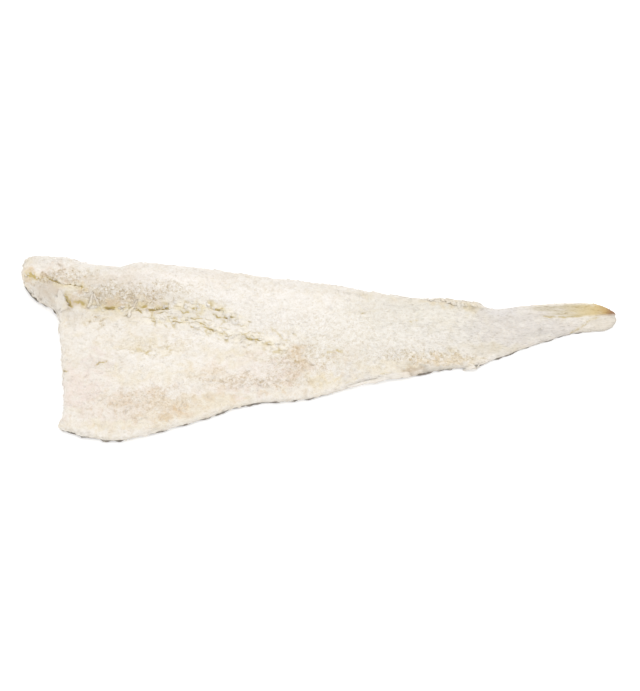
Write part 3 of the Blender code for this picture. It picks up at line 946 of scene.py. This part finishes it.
def flesh_finish(name):
    """Matted off-white flesh under a crust of salt."""
    coat = Finish(name, CREAM)
    felt = coat.use("matted_fibre", Size=1.25, Stretch=2.6, Turbulence=1.6, Spread=32)
    drawn = coat.use("matted_fibre", Size=0.95, Stretch=6.0, Turbulence=0.3, Spread=7)
    hair = coat.use("matted_fibre", Size=0.5, Stretch=6.0, Turbulence=0.8, Spread=30)
    tone, speckled, lengthwise = coat.marked("tone"), coat.marked("speckled"), coat.marked("lengthwise")
    toward_head = coat.reckon("SUBTRACT", 1.0, lengthwise)

    # Broad blotches, and a mottle that fades out towards the tail.
    coat.lay(CHALK_AND_HIGHLIGHT, coat.blotched(30, 0.52, 0.25), 0.7)
    coat.lay(YELLOWED, coat.blotched(14, 0.43, 0.12), 0.42)
    mottle = coat.times(coat.blotched(9, 0.44, 0.09), toward_head)
    coat.lay(TANNED, coat.times(mottle, coat.marked("mottled")), 0.6)
    coat.lay(PALEST, coat.times(coat.blotched(6, 0.45, 0.08), toward_head), 0.5)

    # The stains, broken up by the fibres.
    broken = coat.reckon("ADD", 0.5, coat.times(felt["Shade"], 0.9))
    for colour, spot, strength in STAINS:
        coat.lay(colour, coat.times(coat.marked(spot), broken), strength)
    coat.lay(CHALK_AND_HIGHLIGHT, coat.blotched(7, 0.42, 0.12), 0.45)

    # Painted shade in the hollows between the fibres, and light and dark flecks where the flesh is speckled.
    less_at_tail = coat.reckon("SUBTRACT", 1.0, coat.times(lengthwise, 0.7))
    hollow = coat.times(coat.below(felt["Height"], 0.56, 7.0), less_at_tail)
    coat.lay(WARM_SHADE, hollow, coat.reckon("ADD", 0.42, coat.times(speckled, 1.5)), "MULTIPLY")
    coat.lay(PALEST, coat.times(coat.blotched(3.0, 0.45, 0.05), speckled), 0.9)
    coat.lay(DARK_SPECK, coat.times(coat.blotched(2.4, 0.41, 0.05), speckled), 0.8, "MULTIPLY")
    smudged = coat.reckon("ADD", 0.08, coat.times(speckled, 0.9))
    coat.lay(WARM_SHADE, coat.blotched(4.2, 0.43, 0.06), smudged, "MULTIPLY")
    dash = coat.below(drawn["Height"], 0.53, 8.0)
    coat.lay(GREY_SHADE, coat.times(dash, lengthwise), 0.6, "MULTIPLY")
    coat.lay(WARM_SHADE, coat.below(tone, 0.42, 2.0), 0.6, "MULTIPLY")

    # Chalky tops with a painted highlight, ochre cracks with painted shade, and painted shade on the edges
    # that the light doesn't reach.
    coat.lay(CHALK_AND_HIGHLIGHT, coat.times(coat.marked("raised"), felt["Shade"]), 0.6)
    coat.lay(CHALK_AND_HIGHLIGHT, coat.beyond(tone, 0.55, 2.0), 0.6)
    coat.lay(PLATE_TOP, coat.marked("plate"), 0.65)
    coat.lay(FURROW_OCHRE, coat.marked("deep"), 0.9)
    coat.lay(GREY_SHADE, coat.marked("shaded"), 0.75, "MULTIPLY")

    # The amber ridge, which darkens towards its tip.
    amber = node(coat.tree, "ValToRGB")
    place = node(coat.tree, "SeparateXYZ", Vector=node(coat.tree, "TexCoord").outputs["Object"])
    along_tail = node(coat.tree, "MapRange", Value=place.outputs[0], From_Min=TAIL_FROM, From_Max=TAIL_TO)
    plug(coat.tree, amber.inputs[0], along_tail.outputs[0])
    amber.color_ramp.elements.remove(amber.color_ramp.elements[1])
    for number, (stop, colour) in enumerate(AMBER_RUN):
        element = amber.color_ramp.elements.new(stop) if number else amber.color_ramp.elements[0]
        element.position, element.color = stop, (*colour, 1)
    coat.lay(amber.outputs[0], coat.marked("amber"))
    coat.lay(WARM_SHADE, coat.times(dash, coat.marked("amber")), 0.9, "MULTIPLY")

    coat.raise_up(felt["Height"], 0.7, 0.7)
    coat.raise_up(hair["Height"], 0.5, 0.7)
    smooth_parts = coat.reckon("MAXIMUM", coat.marked("bare"), coat.marked("amber"))
    roughness = coat.reckon("SUBTRACT", 0.9, coat.times(smooth_parts, 0.42))
    return coat.done(roughness, Sheen_Weight=0.15, Sheen_Roughness=0.5)


flesh.data.materials.clear()
flesh.data.materials.append(flesh_finish("salted_flesh"))

# %% [markdown]
# ## The skin
#
# The skin is a leathery sheet under the flesh. It wraps up over the thick back of the fish, and at the belly
# and the tail it ends a little beyond the flesh, as a thin dark line that is partly skin and partly painted
# contact shadow. We take the lower faces of the block, push their rim outwards and give the sheet its
# thickness with a Solidify modifier.

# %% The skin
SKIN_NET = 2.0 * MM
SKIN_THICK = 0.8
# How far the skin stands out beyond the flesh at the belly, as (x, reach), and at the shoulder's notch.
# What shows there is a dark line of skin and painted contact shadow.
SKIN_AND_SHADOW_SHOWS = [
    (-240, 6), (-190, 7.4), (-150, 6.8), (-110, 6.2), (-75, 7), (-45, 7.8), (-10, 6.2), (20, 5.6), (60, 5.5),
    (85, 6.2), (92, 7.8), (138, 8), (148, 7), (170, 9.6), (190, 11), (212, 11.5), (232, 10), (246, 3),
]
SKIN_AND_SHADOW_SHOWS_AT_NOTCH = 2.9
SKIN_OUT = 0.8  # how far it lies outside the wall of the back


def delete_faces(piece, unwanted):
    """Deletes the faces that are marked True."""
    only(piece)
    bpy.ops.object.mode_set(mode="EDIT")
    bpy.ops.mesh.select_mode(type="FACE")
    bpy.ops.mesh.select_all(action="DESELECT")
    bpy.ops.object.mode_set(mode="OBJECT")
    piece.data.polygons.foreach_set("select", unwanted)
    bpy.ops.object.mode_set(mode="EDIT")
    bpy.ops.mesh.delete(type="FACE")
    bpy.ops.object.mode_set(mode="OBJECT")


skin = duplicate(block, "fish_skin")
modify(skin, "REMESH", mode="VOXEL", voxel_size=SKIN_NET)
middles = np.array([tuple(face.center) for face in skin.data.polygons]) / MM
face_ways = np.array([tuple(face.normal) for face in skin.data.polygons])
on_back = (under_skin(middles + 1.2 * waves(middles, 9, 130)[:, None]) > 0.3) & (face_ways[:, 1] > 0.1)
on_back &= to_edge(middles)[0] < 14
delete_faces(skin, ~((face_ways[:, 2] < -0.55) | on_back))
bpy.ops.object.mode_set(mode="EDIT")
bpy.ops.mesh.select_all(action="SELECT")
bpy.ops.mesh.fill_holes(sides=16)
bpy.ops.object.mode_set(mode="OBJECT")
skin_points, skin_facing = points_of(skin), normals_of(skin)
rim_off, rim_place = to_edge(skin_points)
outward = rim_place - skin_points
outward[:, 2] = 0
outward /= np.maximum(np.linalg.norm(outward, axis=1), 0.2)[:, None]
# The rim pushed out here shows as a dark line at the foot of the flesh: skin, and painted contact shadow.
at_rim = ease(1 - rim_off / 5) * (skin_points[:, 2] < 3)
shows = np.interp(skin_points[:, 0], *np.array(SKIN_AND_SHADOW_SHOWS, float).T) * (across(skin_points) < 0.5)
notch = ease((-238 - skin_points[:, 0]) / 4) * (skin_points[:, 1] > 36) * ease((75 - skin_points[:, 1]) / 10)
shows = np.where(outward[:, 0] < -0.8, 0, shows)
shows = np.maximum(shows, SKIN_AND_SHADOW_SHOWS_AT_NOTCH * notch * (1 - 0.45 * ease((-250 - skin_points[:, 0]) / 10)))
skin_points += outward * (shows * at_rim * (1 + 0.2 * waves(skin_points, 11, 131)))[:, None]
wrapped = 1 - ease(-skin_facing[:, 2] / 0.6)
skin_points += skin_facing * (SKIN_OUT * wrapped * (1 + 0.4 * waves(skin_points, 6, 133)))[:, None]
skin_points[:, 2] = np.clip(skin_points[:, 2], 0.02, np.where(skin_points[:, 0] > 180, 0.4, 30))
move_points(skin, skin_points)
modify(skin, "SMOOTH", factor=0.5, iterations=12)
modify(skin, "SOLIDIFY", thickness=SKIN_THICK * MM, offset=-1)
only(skin)
bpy.ops.object.shade_smooth()
print("skin:", triangles(skin), "triangles")

# %% [markdown]
# ## The finish of the skin
#
# Dried cod skin is a dull grey-brown leather with darker mottling, small pockets where the scales sat, and a
# haze of dried salt. The pockets are a bump made from the cells of a Voronoi texture.

# %% The finish of the skin
SKIN_BROWN, SKIN_MOTTLE, SKIN_HAZE = (0.215, 0.185, 0.15), (0.12, 0.10, 0.08), (0.40, 0.37, 0.325)
SCALE_POCKET = 2.4  # millimetres across


def skin_finish(name):
    """Dull, mottled leather with scale pockets and a haze of salt."""
    coat = Finish(name, SKIN_BROWN)
    coat.lay(SKIN_MOTTLE, coat.blotched(11, 0.47, 0.12), 0.8)
    coat.lay(SKIN_HAZE, coat.blotched(26, 0.46, 0.3), 0.5)
    coat.lay(SALT_WHITE, coat.use("salt_specks", Size=1.1, Amount=0.3)["Mask"], 0.25)
    here = node(coat.tree, "TexCoord").outputs["Object"]
    pockets = node(coat.tree, "TexVoronoi", {"feature": "SMOOTH_F1"}, Vector=here, Scale=1000 / SCALE_POCKET)
    coat.raise_up(pockets.outputs["Distance"], 0.4, 0.6)
    coat.raise_up(coat.use("matted_fibre", Size=3.0, Stretch=2.0, Turbulence=1.0)["Height"], 0.5, 0.4)
    return coat.done(0.55)


# %% [markdown]
# ## Strewing small things
#
# Flakes, crumbs and salt are modelled once in a few shapes and strewn by the thousand. Each copy gets its own
# place, turn and size, and all copies of one kind become one mesh. We pick a place at random, drop a plumb
# line on to the flesh there, and keep it or not by how thick that kind lies in that part of the fish.

# %% Strewing small things
flesh_surface = surface_of(flesh)


def shape_of(piece):
    """The vertices of a model, in its own units, and its faces. The model itself is deleted."""
    corners = np.array([tuple(vertex.co) for vertex in piece.data.vertices])
    faces = [tuple(face.vertices) for face in piece.data.polygons]
    bpy.data.objects.remove(piece)
    return corners, faces


def join_copies(name, shapes, placings):
    """One mesh of many copies. A placing is which shape, a matrix in millimetres and a tone from 0 to 1."""
    corners, faces, tones, start = [], [], [], 0
    for which, matrix, tone in placings:
        shape, shape_faces = shapes[which]
        turn = np.array(matrix)
        corners.append(shape @ turn[:3, :3].T + turn[:3, 3])
        faces += [tuple(corner + start for corner in face) for face in shape_faces]
        tones += [tone] * len(shape)
        start += len(shape)
    mesh = bpy.data.meshes.new(name)
    mesh.from_pydata((np.concatenate(corners) * MM).tolist(), [], faces)
    mesh.update()
    piece = bpy.data.objects.new(name, mesh)
    bpy.context.scene.collection.objects.link(piece)
    mark(piece, "tone", tones)
    print(name + ":", len(placings), "copies,", triangles(piece), "triangles")
    return piece


def strewn(dice, tries, density):
    """Random places on the flesh, kept with a chance that density gives for an array of points."""
    (left, front, _), (right, back, _) = low_corner, high_corner
    tried = np.array([(dice.uniform(left, right), dice.uniform(front, back), 0) for _ in range(tries)])
    chances = density(tried)
    kept = []
    for (x, y, _), chance in zip(tried, chances):
        if dice.random() < chance:
            hit, normal = drop(flesh_surface, x, y)
            if hit is not None:
                kept.append((hit, normal))
    return kept


def sit(hit, normal, heading, size, tilt=0.0, roll=0.0):
    """A matrix that sets a shape on the surface with its length towards heading, tilted up and rolled."""
    on_surface = Vector((0, 0, 1)).rotation_difference(normal).to_matrix().to_4x4()
    on_spot = Matrix.Rotation(heading, 4, "Z") @ Matrix.Rotation(tilt, 4, "X") @ Matrix.Rotation(roll, 4, "Y")
    return Matrix.Translation(hit) @ on_surface @ on_spot @ Matrix.Diagonal((*size, 1))


# %% [markdown]
# ## Torn flakes
#
# A flake is a thin blade of muscle, thick at its root and ragged at its free edge. It starts as a cube that
# is flattened and subdivided. Then it is bent upwards and shaken with noise, a little differently for each
# of six shapes. The copies overlap along the furrows with their free edges towards the belly.

# %% Torn flakes
FLAKE_SHAPES = 6
FLAKE_WAY, FLAKE_SPREAD = -10, 22  # degrees


def torn_flake(number):
    """A ragged blade, 1 wide and 0.6 long, whose free edge points to -Y."""
    bpy.ops.object.select_all(action="DESELECT")
    bpy.ops.mesh.primitive_cube_add(size=1)
    piece = bpy.context.object
    bpy.ops.object.mode_set(mode="EDIT")
    bpy.ops.mesh.subdivide(number_cuts=2)
    bpy.ops.transform.resize(value=(1, 0.6, 0.16))
    bpy.ops.object.mode_set(mode="OBJECT")
    for vertex in piece.data.vertices:
        x, y, z = vertex.co
        free = 0.5 - y / 0.6
        x *= 1 - 0.35 * free**2
        z *= 1 - 0.6 * free
        bend = 0.14 * free**2 - 0.1 * (2 * x) ** 2
        shake = Vector((noise.noise((x * 3, y * 3, number + k)) for k in (0.1, 7.3, 13.9))) * 0.24
        vertex.co = (x + shake.x, y + shake.y * 1.2, z + bend + shake.z * 0.35)
    return shape_of(piece)


flake_shapes = [torn_flake(number) for number in range(FLAKE_SHAPES)]
dice = random.Random(7)
flake_places = []


def add_flake(hit, normal, length, lift):
    """Sets a flake of this length on the flesh, with its free edge lifted by so many degrees."""
    size = (length * dice.uniform(0.9, 1.6), length, length * dice.uniform(0.5, 0.9))
    turn = sit(hit, normal, math.radians(dice.gauss(FLAKE_WAY, FLAKE_SPREAD)), size, -math.radians(lift))
    flake_places.append((dice.randrange(FLAKE_SHAPES), turn, dice.uniform(0.65, 1.0)))


TOP_RIDGE = [(104, 48), (116, 47), (124, 45.5), (131, 43.5), (142, 42.5), (152, 42)]
# The line, how many flakes, and how far below and above the line they lie.
FLAKE_ROWS = [
    (BONE_LINE[:12], 30, 3.5, 1.5), (BONE_LINE[11:], 36, 6, 4), (RIB_LINE, 44, 4, 5), (COLLAR_FOLD, 16, 2, 2),
    (TOP_RIDGE, 34, 1.2, 2.0),
]
for line, count, below_it, above_it in FLAKE_ROWS:
    ends = np.array(line, float)
    reached = np.concatenate([[0], np.cumsum(np.linalg.norm(np.diff(ends, axis=0), axis=1))])
    for _ in range(count):
        here = dice.uniform(0, reached[-1])
        x = np.interp(here, reached, ends[:, 0]) + dice.gauss(0, 1)
        y = np.interp(here, reached, ends[:, 1]) + dice.triangular(-below_it, above_it, 1)
        hit, normal = drop(flesh_surface, x, y)
        if hit is not None:
            add_flake(hit, normal, dice.triangular(1.8, 6.0, 2.6), dice.uniform(-8, 10))
FLAKY_SPOTS = [(-135, 31, 60, 8), (-45, 7, 30, 11), (-150, -6, 28, 8), (-205, 28, 12, 3)]
for hit, normal in strewn(dice, 2600, lambda places: 0.14 * spots(places, FLAKY_SPOTS)):
    add_flake(hit, normal, dice.triangular(1.4, 3.8, 2.0), dice.uniform(-5, 18))
flakes = join_copies("torn_flakes", flake_shapes, flake_places)
only(flakes)
bpy.ops.object.shade_smooth()

# %% [markdown]
# ## Torn strips
#
# A few larger strips hang over the furrows: a flap at the notch of the shoulder, and threads of tendon that
# still bridge the bone line. A strip is a grid that is drawn along a line on the flesh, with a width at each
# point of the line. It stands off the flesh by its lift, and a Solidify modifier makes it thick.

# %% Torn strips
STRIP_THICK = 0.7
# The line, its widths and how far it stands off.
STRIPS = [
    ([(-241, 51.5), (-239.5, 46), (-237.5, 42), (-236, 37)], (2, 6.5, 8, 7), 0.9),
    ([(-244, 47), (-243, 43), (-240, 39)], (2, 4.5, 5), 0.6),
    ([(-209.4, 48.6), (-211.7, 44.3), (-214.6, 39.8)], (1.0, 2.0, 2.6), 1.7),
    ([(-208.6, 48.2), (-206.2, 44.8), (-204.0, 41.4)], (1.0, 1.8, 1.4), 1.6),
    ([(-169, 44.6), (-172.4, 40.4), (-175.4, 37), (-177, 31)], (0.8, 2.2, 2.6, 3.8), 1.3),
    ([(26, -40.5), (49, -33.5), (66, -29.5), (85, -27)], (1.5, 3.6, 4.2, 5.5), 0.5),
    ([(-243, 62), (-238, 58.5), (-233, 57)], (1.5, 2.5, 1.5), 0.5),
    ([(134, -20.5), (141, -20), (149, -17.5)], (2, 4.5, 3), 0.7),
    ([(-87, 31), (-84, 28.5), (-81, 27)], (1, 3.5, 5), 0.8),
]


def strip(line, widths, lift):
    """A torn strip over the flesh, along a line with a width at each point."""
    bpy.ops.object.select_all(action="DESELECT")
    bpy.ops.mesh.primitive_grid_add(x_subdivisions=6, y_subdivisions=5 * (len(line) - 1), size=1)
    piece = bpy.context.object
    shares = np.linspace(0, 1, len(line))
    xs, ys = np.array(line, float).T
    ahead = Vector((xs[-1] - xs[0], ys[-1] - ys[0], 0)).normalized()
    sideways = Vector((ahead.y, -ahead.x, 0))
    ground = 0.0
    for vertex in piece.data.vertices:
        side, share = vertex.co.x, vertex.co.y + 0.5
        place = Vector((np.interp(share, shares, xs), np.interp(share, shares, ys), 0))
        frayed = 1 + 0.8 * noise.noise(Vector((side * 2, place.x * 0.9, place.y * 0.9)))
        place += sideways * side * float(np.interp(share, shares, widths)) * frayed
        place += ahead * 1.6 * noise.noise(Vector((side * 5, place.x, 3.7))) * abs(2 * share - 1)
        hit, _ = drop(flesh_surface, place.x, place.y)
        ground = hit.z if hit is not None else ground
        crown = lift * (1 - (1.6 * side) ** 2) + 0.5 * noise.noise(place * 0.7)
        vertex.co = Vector((place.x, place.y, max(ground + crown, BELOW_FLESH))) * MM
    modify(piece, "SOLIDIFY", thickness=STRIP_THICK * MM, offset=0)
    return piece


strips = [strip(*one) for one in STRIPS]
bpy.ops.object.select_all(action="DESELECT")
for piece in strips:
    piece.select_set(True)
bpy.context.view_layer.objects.active = strips[0]
bpy.ops.object.join()
strips = bpy.context.object
strips.name = "torn_strips"
only(strips)
bpy.ops.object.mode_set(mode="EDIT")
bpy.ops.mesh.select_all(action="SELECT")
bpy.ops.mesh.normals_make_consistent(inside=False)
bpy.ops.object.mode_set(mode="OBJECT")
bpy.ops.object.shade_smooth()
mark(strips, "tone", 0.7 + 0.3 * waves(points_of(strips), 2, 140))
print("torn strips:", len(STRIPS), "of them,", triangles(strips), "triangles")

# %% [markdown]
# ## Crumbs of dried flesh
#
# The nap has worn off in crumbs, which lie half sunk in the surface: thick on the slope of the loin, thin on
# the tail. A crumb is an icosphere with its corners shaken. It has only twenty faces, as there are thousands.

# %% Crumbs of dried flesh
CRUMB_SHAPES = 8
CRUMB_TRIES = 40000


def crumb(number):
    """A rough grain, about 1 across."""
    bpy.ops.object.select_all(action="DESELECT")
    bpy.ops.mesh.primitive_ico_sphere_add(subdivisions=1, radius=0.5)
    piece = bpy.context.object
    for vertex in piece.data.vertices:
        vertex.co *= 1 + 0.55 * noise.noise(vertex.co * 2.3 + Vector((number * 5.1, 0, 0)))
    return shape_of(piece)


crumb_shapes = [crumb(number) for number in range(CRUMB_SHAPES)]


def crumbs_lie(points):
    """How thick the crumbs lie."""
    patchy = ease(0.4 + 1.6 * waves(points, 14, 150))
    thin = 1 - 0.85 * ease((points[:, 0] - 130) / 60)
    thick = 0.08 + 0.2 * patchy + 0.35 * spots(points, SPECKLED, 6)
    return np.clip(thick * thin, 0, 1) * (1 - is_bare(points))


dice = random.Random(11)
crumb_places = []
for hit, normal in strewn(dice, CRUMB_TRIES, crumbs_lie):
    across_it = dice.triangular(0.6, 2.2, 0.9)
    size = (across_it * dice.uniform(1, 1.9), across_it, across_it * dice.uniform(0.4, 0.8))
    turn = sit(hit - normal * 0.15 * across_it, normal, math.radians(dice.gauss(-10, 50)), size)
    crumb_places.append((dice.randrange(CRUMB_SHAPES), turn, dice.triangular(0.25, 1.0, 0.6)))
crumbs = join_copies("flesh_crumbs", crumb_shapes, crumb_places)
only(crumbs)
bpy.ops.object.shade_smooth()

# %% [markdown]
# ## Loose fibres
#
# Single fibres of muscle lie over the crust and stand out at the edges, which is what makes the outline
# fuzzy. A fibre is a curve with a bevel, thin at both ends. All the fibres are splines of one curve object,
# which is turned into a mesh, and merging its doubles closes the tips.

# %% Loose fibres
FIBRE_THICK = 0.13  # radius at the middle
FIBRE_POINTS = 5
FIBRE_TRIES = 14000


def fibre_over(dice, x, y, heading, length, lift):
    """Places along a fibre that lies over the flesh from x, y and lifts off towards its end."""
    places = []
    curl = dice.gauss(0, 0.5)
    for step in range(FIBRE_POINTS):
        share = step / (FIBRE_POINTS - 1)
        hit, _ = drop(flesh_surface, x, y)
        ground = hit.z if hit is not None else (places[-1][2] - 0.4 if places else None)
        if ground is None:
            return None
        places.append((x, y, max(ground + 0.02 + lift * share**2, 0.3)))
        x += length / (FIBRE_POINTS - 1) * math.cos(heading)
        y += length / (FIBRE_POINTS - 1) * math.sin(heading)
        heading += curl / (FIBRE_POINTS - 1) + dice.gauss(0, 0.25)
    return places


FIBRE_WIDTHS = [0.05, 0.9, 1.1, 0.8, 0.05]
dice = random.Random(23)
curve = bpy.data.curves.new("loose_fibres", "CURVE")
curve.dimensions = "3D"
curve.bevel_depth = FIBRE_THICK * MM
curve.bevel_resolution = 0


def add_fibre(x, y, heading, length, lift, stout=1.0):
    """Adds one fibre to the curve, if it starts on the flesh. Says whether it did."""
    places = fibre_over(dice, x, y, heading, length, lift)
    if places is None:
        return False
    spline = curve.splines.new("POLY")
    spline.points.add(FIBRE_POINTS - 1)
    thick_here = stout * dice.uniform(0.6, 1.4)
    for point, place, width in zip(spline.points, places, FIBRE_WIDTHS):
        point.co = (*(Vector(place) * MM), 1)
        point.radius = width * thick_here
    return True


def fibres_lie(points):
    """How thick the fibres lie."""
    thin = 1 - 0.8 * ease((points[:, 0] - 100) / 90)
    thick = 0.1 + 0.25 * ease(0.5 + waves(points, 14, 160)) + 0.3 * spots(points, SPECKLED, 6)
    return thick * thin * (1 - is_bare(points))


for hit, _ in strewn(dice, FIBRE_TRIES, fibres_lie):
    heading, length = math.radians(dice.gauss(-12, 45)), dice.triangular(1.6, 6.0, 2.4)
    add_fibre(hit.x, hit.y, heading, length, dice.uniform(-0.1, 0.7))
fuzz = 0
for i, j in at_edge.tolist():
    for _ in range(3):
        x, y = columns[i] + dice.gauss(0, 1), rows[j] + dice.gauss(0, 1)
        heading = math.atan2(y, 0.4 * x) + dice.gauss(0, 0.9)
        if dice.random() < (0.7 if x < 150 else 0.12):
            fuzz += add_fibre(x, y, heading, dice.triangular(0.8, 3.6, 1.6), dice.uniform(0, 0.8), 2.2)
NICK_X, NICK_FROM, NICK_TO = -235.5, -34, -25  # hairs stand out of the nick in the shoulder edge
for _ in range(14):
    y, heading = dice.uniform(NICK_FROM, NICK_TO), math.radians(dice.gauss(180, 30))
    add_fibre(NICK_X, y, heading, dice.uniform(2, 4.5), dice.uniform(0, 1))
fibres = bpy.data.objects.new("loose_fibres", curve)
bpy.context.scene.collection.objects.link(fibres)
only(fibres)
bpy.ops.object.convert(target="MESH")
fibres = bpy.context.object
bpy.ops.object.mode_set(mode="EDIT")
bpy.ops.mesh.select_all(action="SELECT")
bpy.ops.mesh.remove_doubles(threshold=0.02 * MM)
bpy.ops.mesh.normals_make_consistent(inside=False)
bpy.ops.object.mode_set(mode="OBJECT")
bpy.ops.object.shade_smooth()
mark(fibres, "tone", 0.75 + 0.3 * waves(points_of(fibres), 4, 161))
print("fibres:", triangles(fibres), "triangles,", fuzz, "of the fibres at the edge")

# %% [markdown]
# ## Salt
#
# The last of the salt lies in the crust as small cubes. A crystal is a cube a little out of square: each of
# its corners is pushed in or out by noise.

# %% Salt
SALT_TRIES = 5000


def crystal(number):
    """A cube of salt, 1 wide, a little out of square."""
    bpy.ops.object.select_all(action="DESELECT")
    bpy.ops.mesh.primitive_cube_add(size=1)
    piece = bpy.context.object
    for vertex in piece.data.vertices:
        vertex.co *= 1 + 0.4 * noise.noise(vertex.co * 1.9 + Vector((number * 3.7, 0, 0)))
    return shape_of(piece)


def salt_lies(points):
    """How thick the salt lies."""
    patchy = ease(0.4 + 1.5 * waves(points, 22, 170))
    return 0.5 * patchy * (1 - is_ridge(points)) * ease((150 - points[:, 0]) / 60)


dice = random.Random(31)
salt_shapes = [crystal(number) for number in range(4)]
salt_places = []
for hit, normal in strewn(dice, SALT_TRIES, salt_lies):
    across_it = dice.triangular(0.25, 0.7, 0.35)
    heading, tilt, roll = dice.uniform(0, math.pi), dice.uniform(-0.7, 0.7), dice.uniform(-0.7, 0.7)
    turn = sit(hit, normal, heading, [across_it] * 3, tilt, roll)
    salt_places.append((dice.randrange(4), turn, 0.5))
salt = join_copies("salt_crystals", salt_shapes, salt_places)
salt_coat = Finish("salt_crust", SALT_WHITE)
salt.data.materials.append(salt_coat.done(0.35))

# %% [markdown]
# ## Putting the finishes on
#
# The loose pieces are flesh too, so they wear the flesh's own material, and they need every mark that it
# reads. Each piece then rides on the fish's one body. The carved flesh takes the place of the plain side, and
# the block that we measured from goes.

# %% Putting the finishes on
for piece in (flakes, strips, crumbs, fibres):
    mark_places(piece, freshly_torn=piece in (flakes, strips))
    count = len(piece.data.vertices)
    mark(piece, "deep", np.zeros(count))
    mark(piece, "raised", np.full(count, 0.5))
    mark(piece, "plate", np.zeros(count))
    piece.data.materials.clear()
    piece.data.materials.append(flesh.data.materials[0])
    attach(piece, "root")
skin.data.materials.clear()
skin.data.materials.append(skin_finish("fish_skin"))
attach(skin, "root")
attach(salt, "root")
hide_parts("cod_side")
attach(flesh, "root")
bpy.data.objects.remove(block)
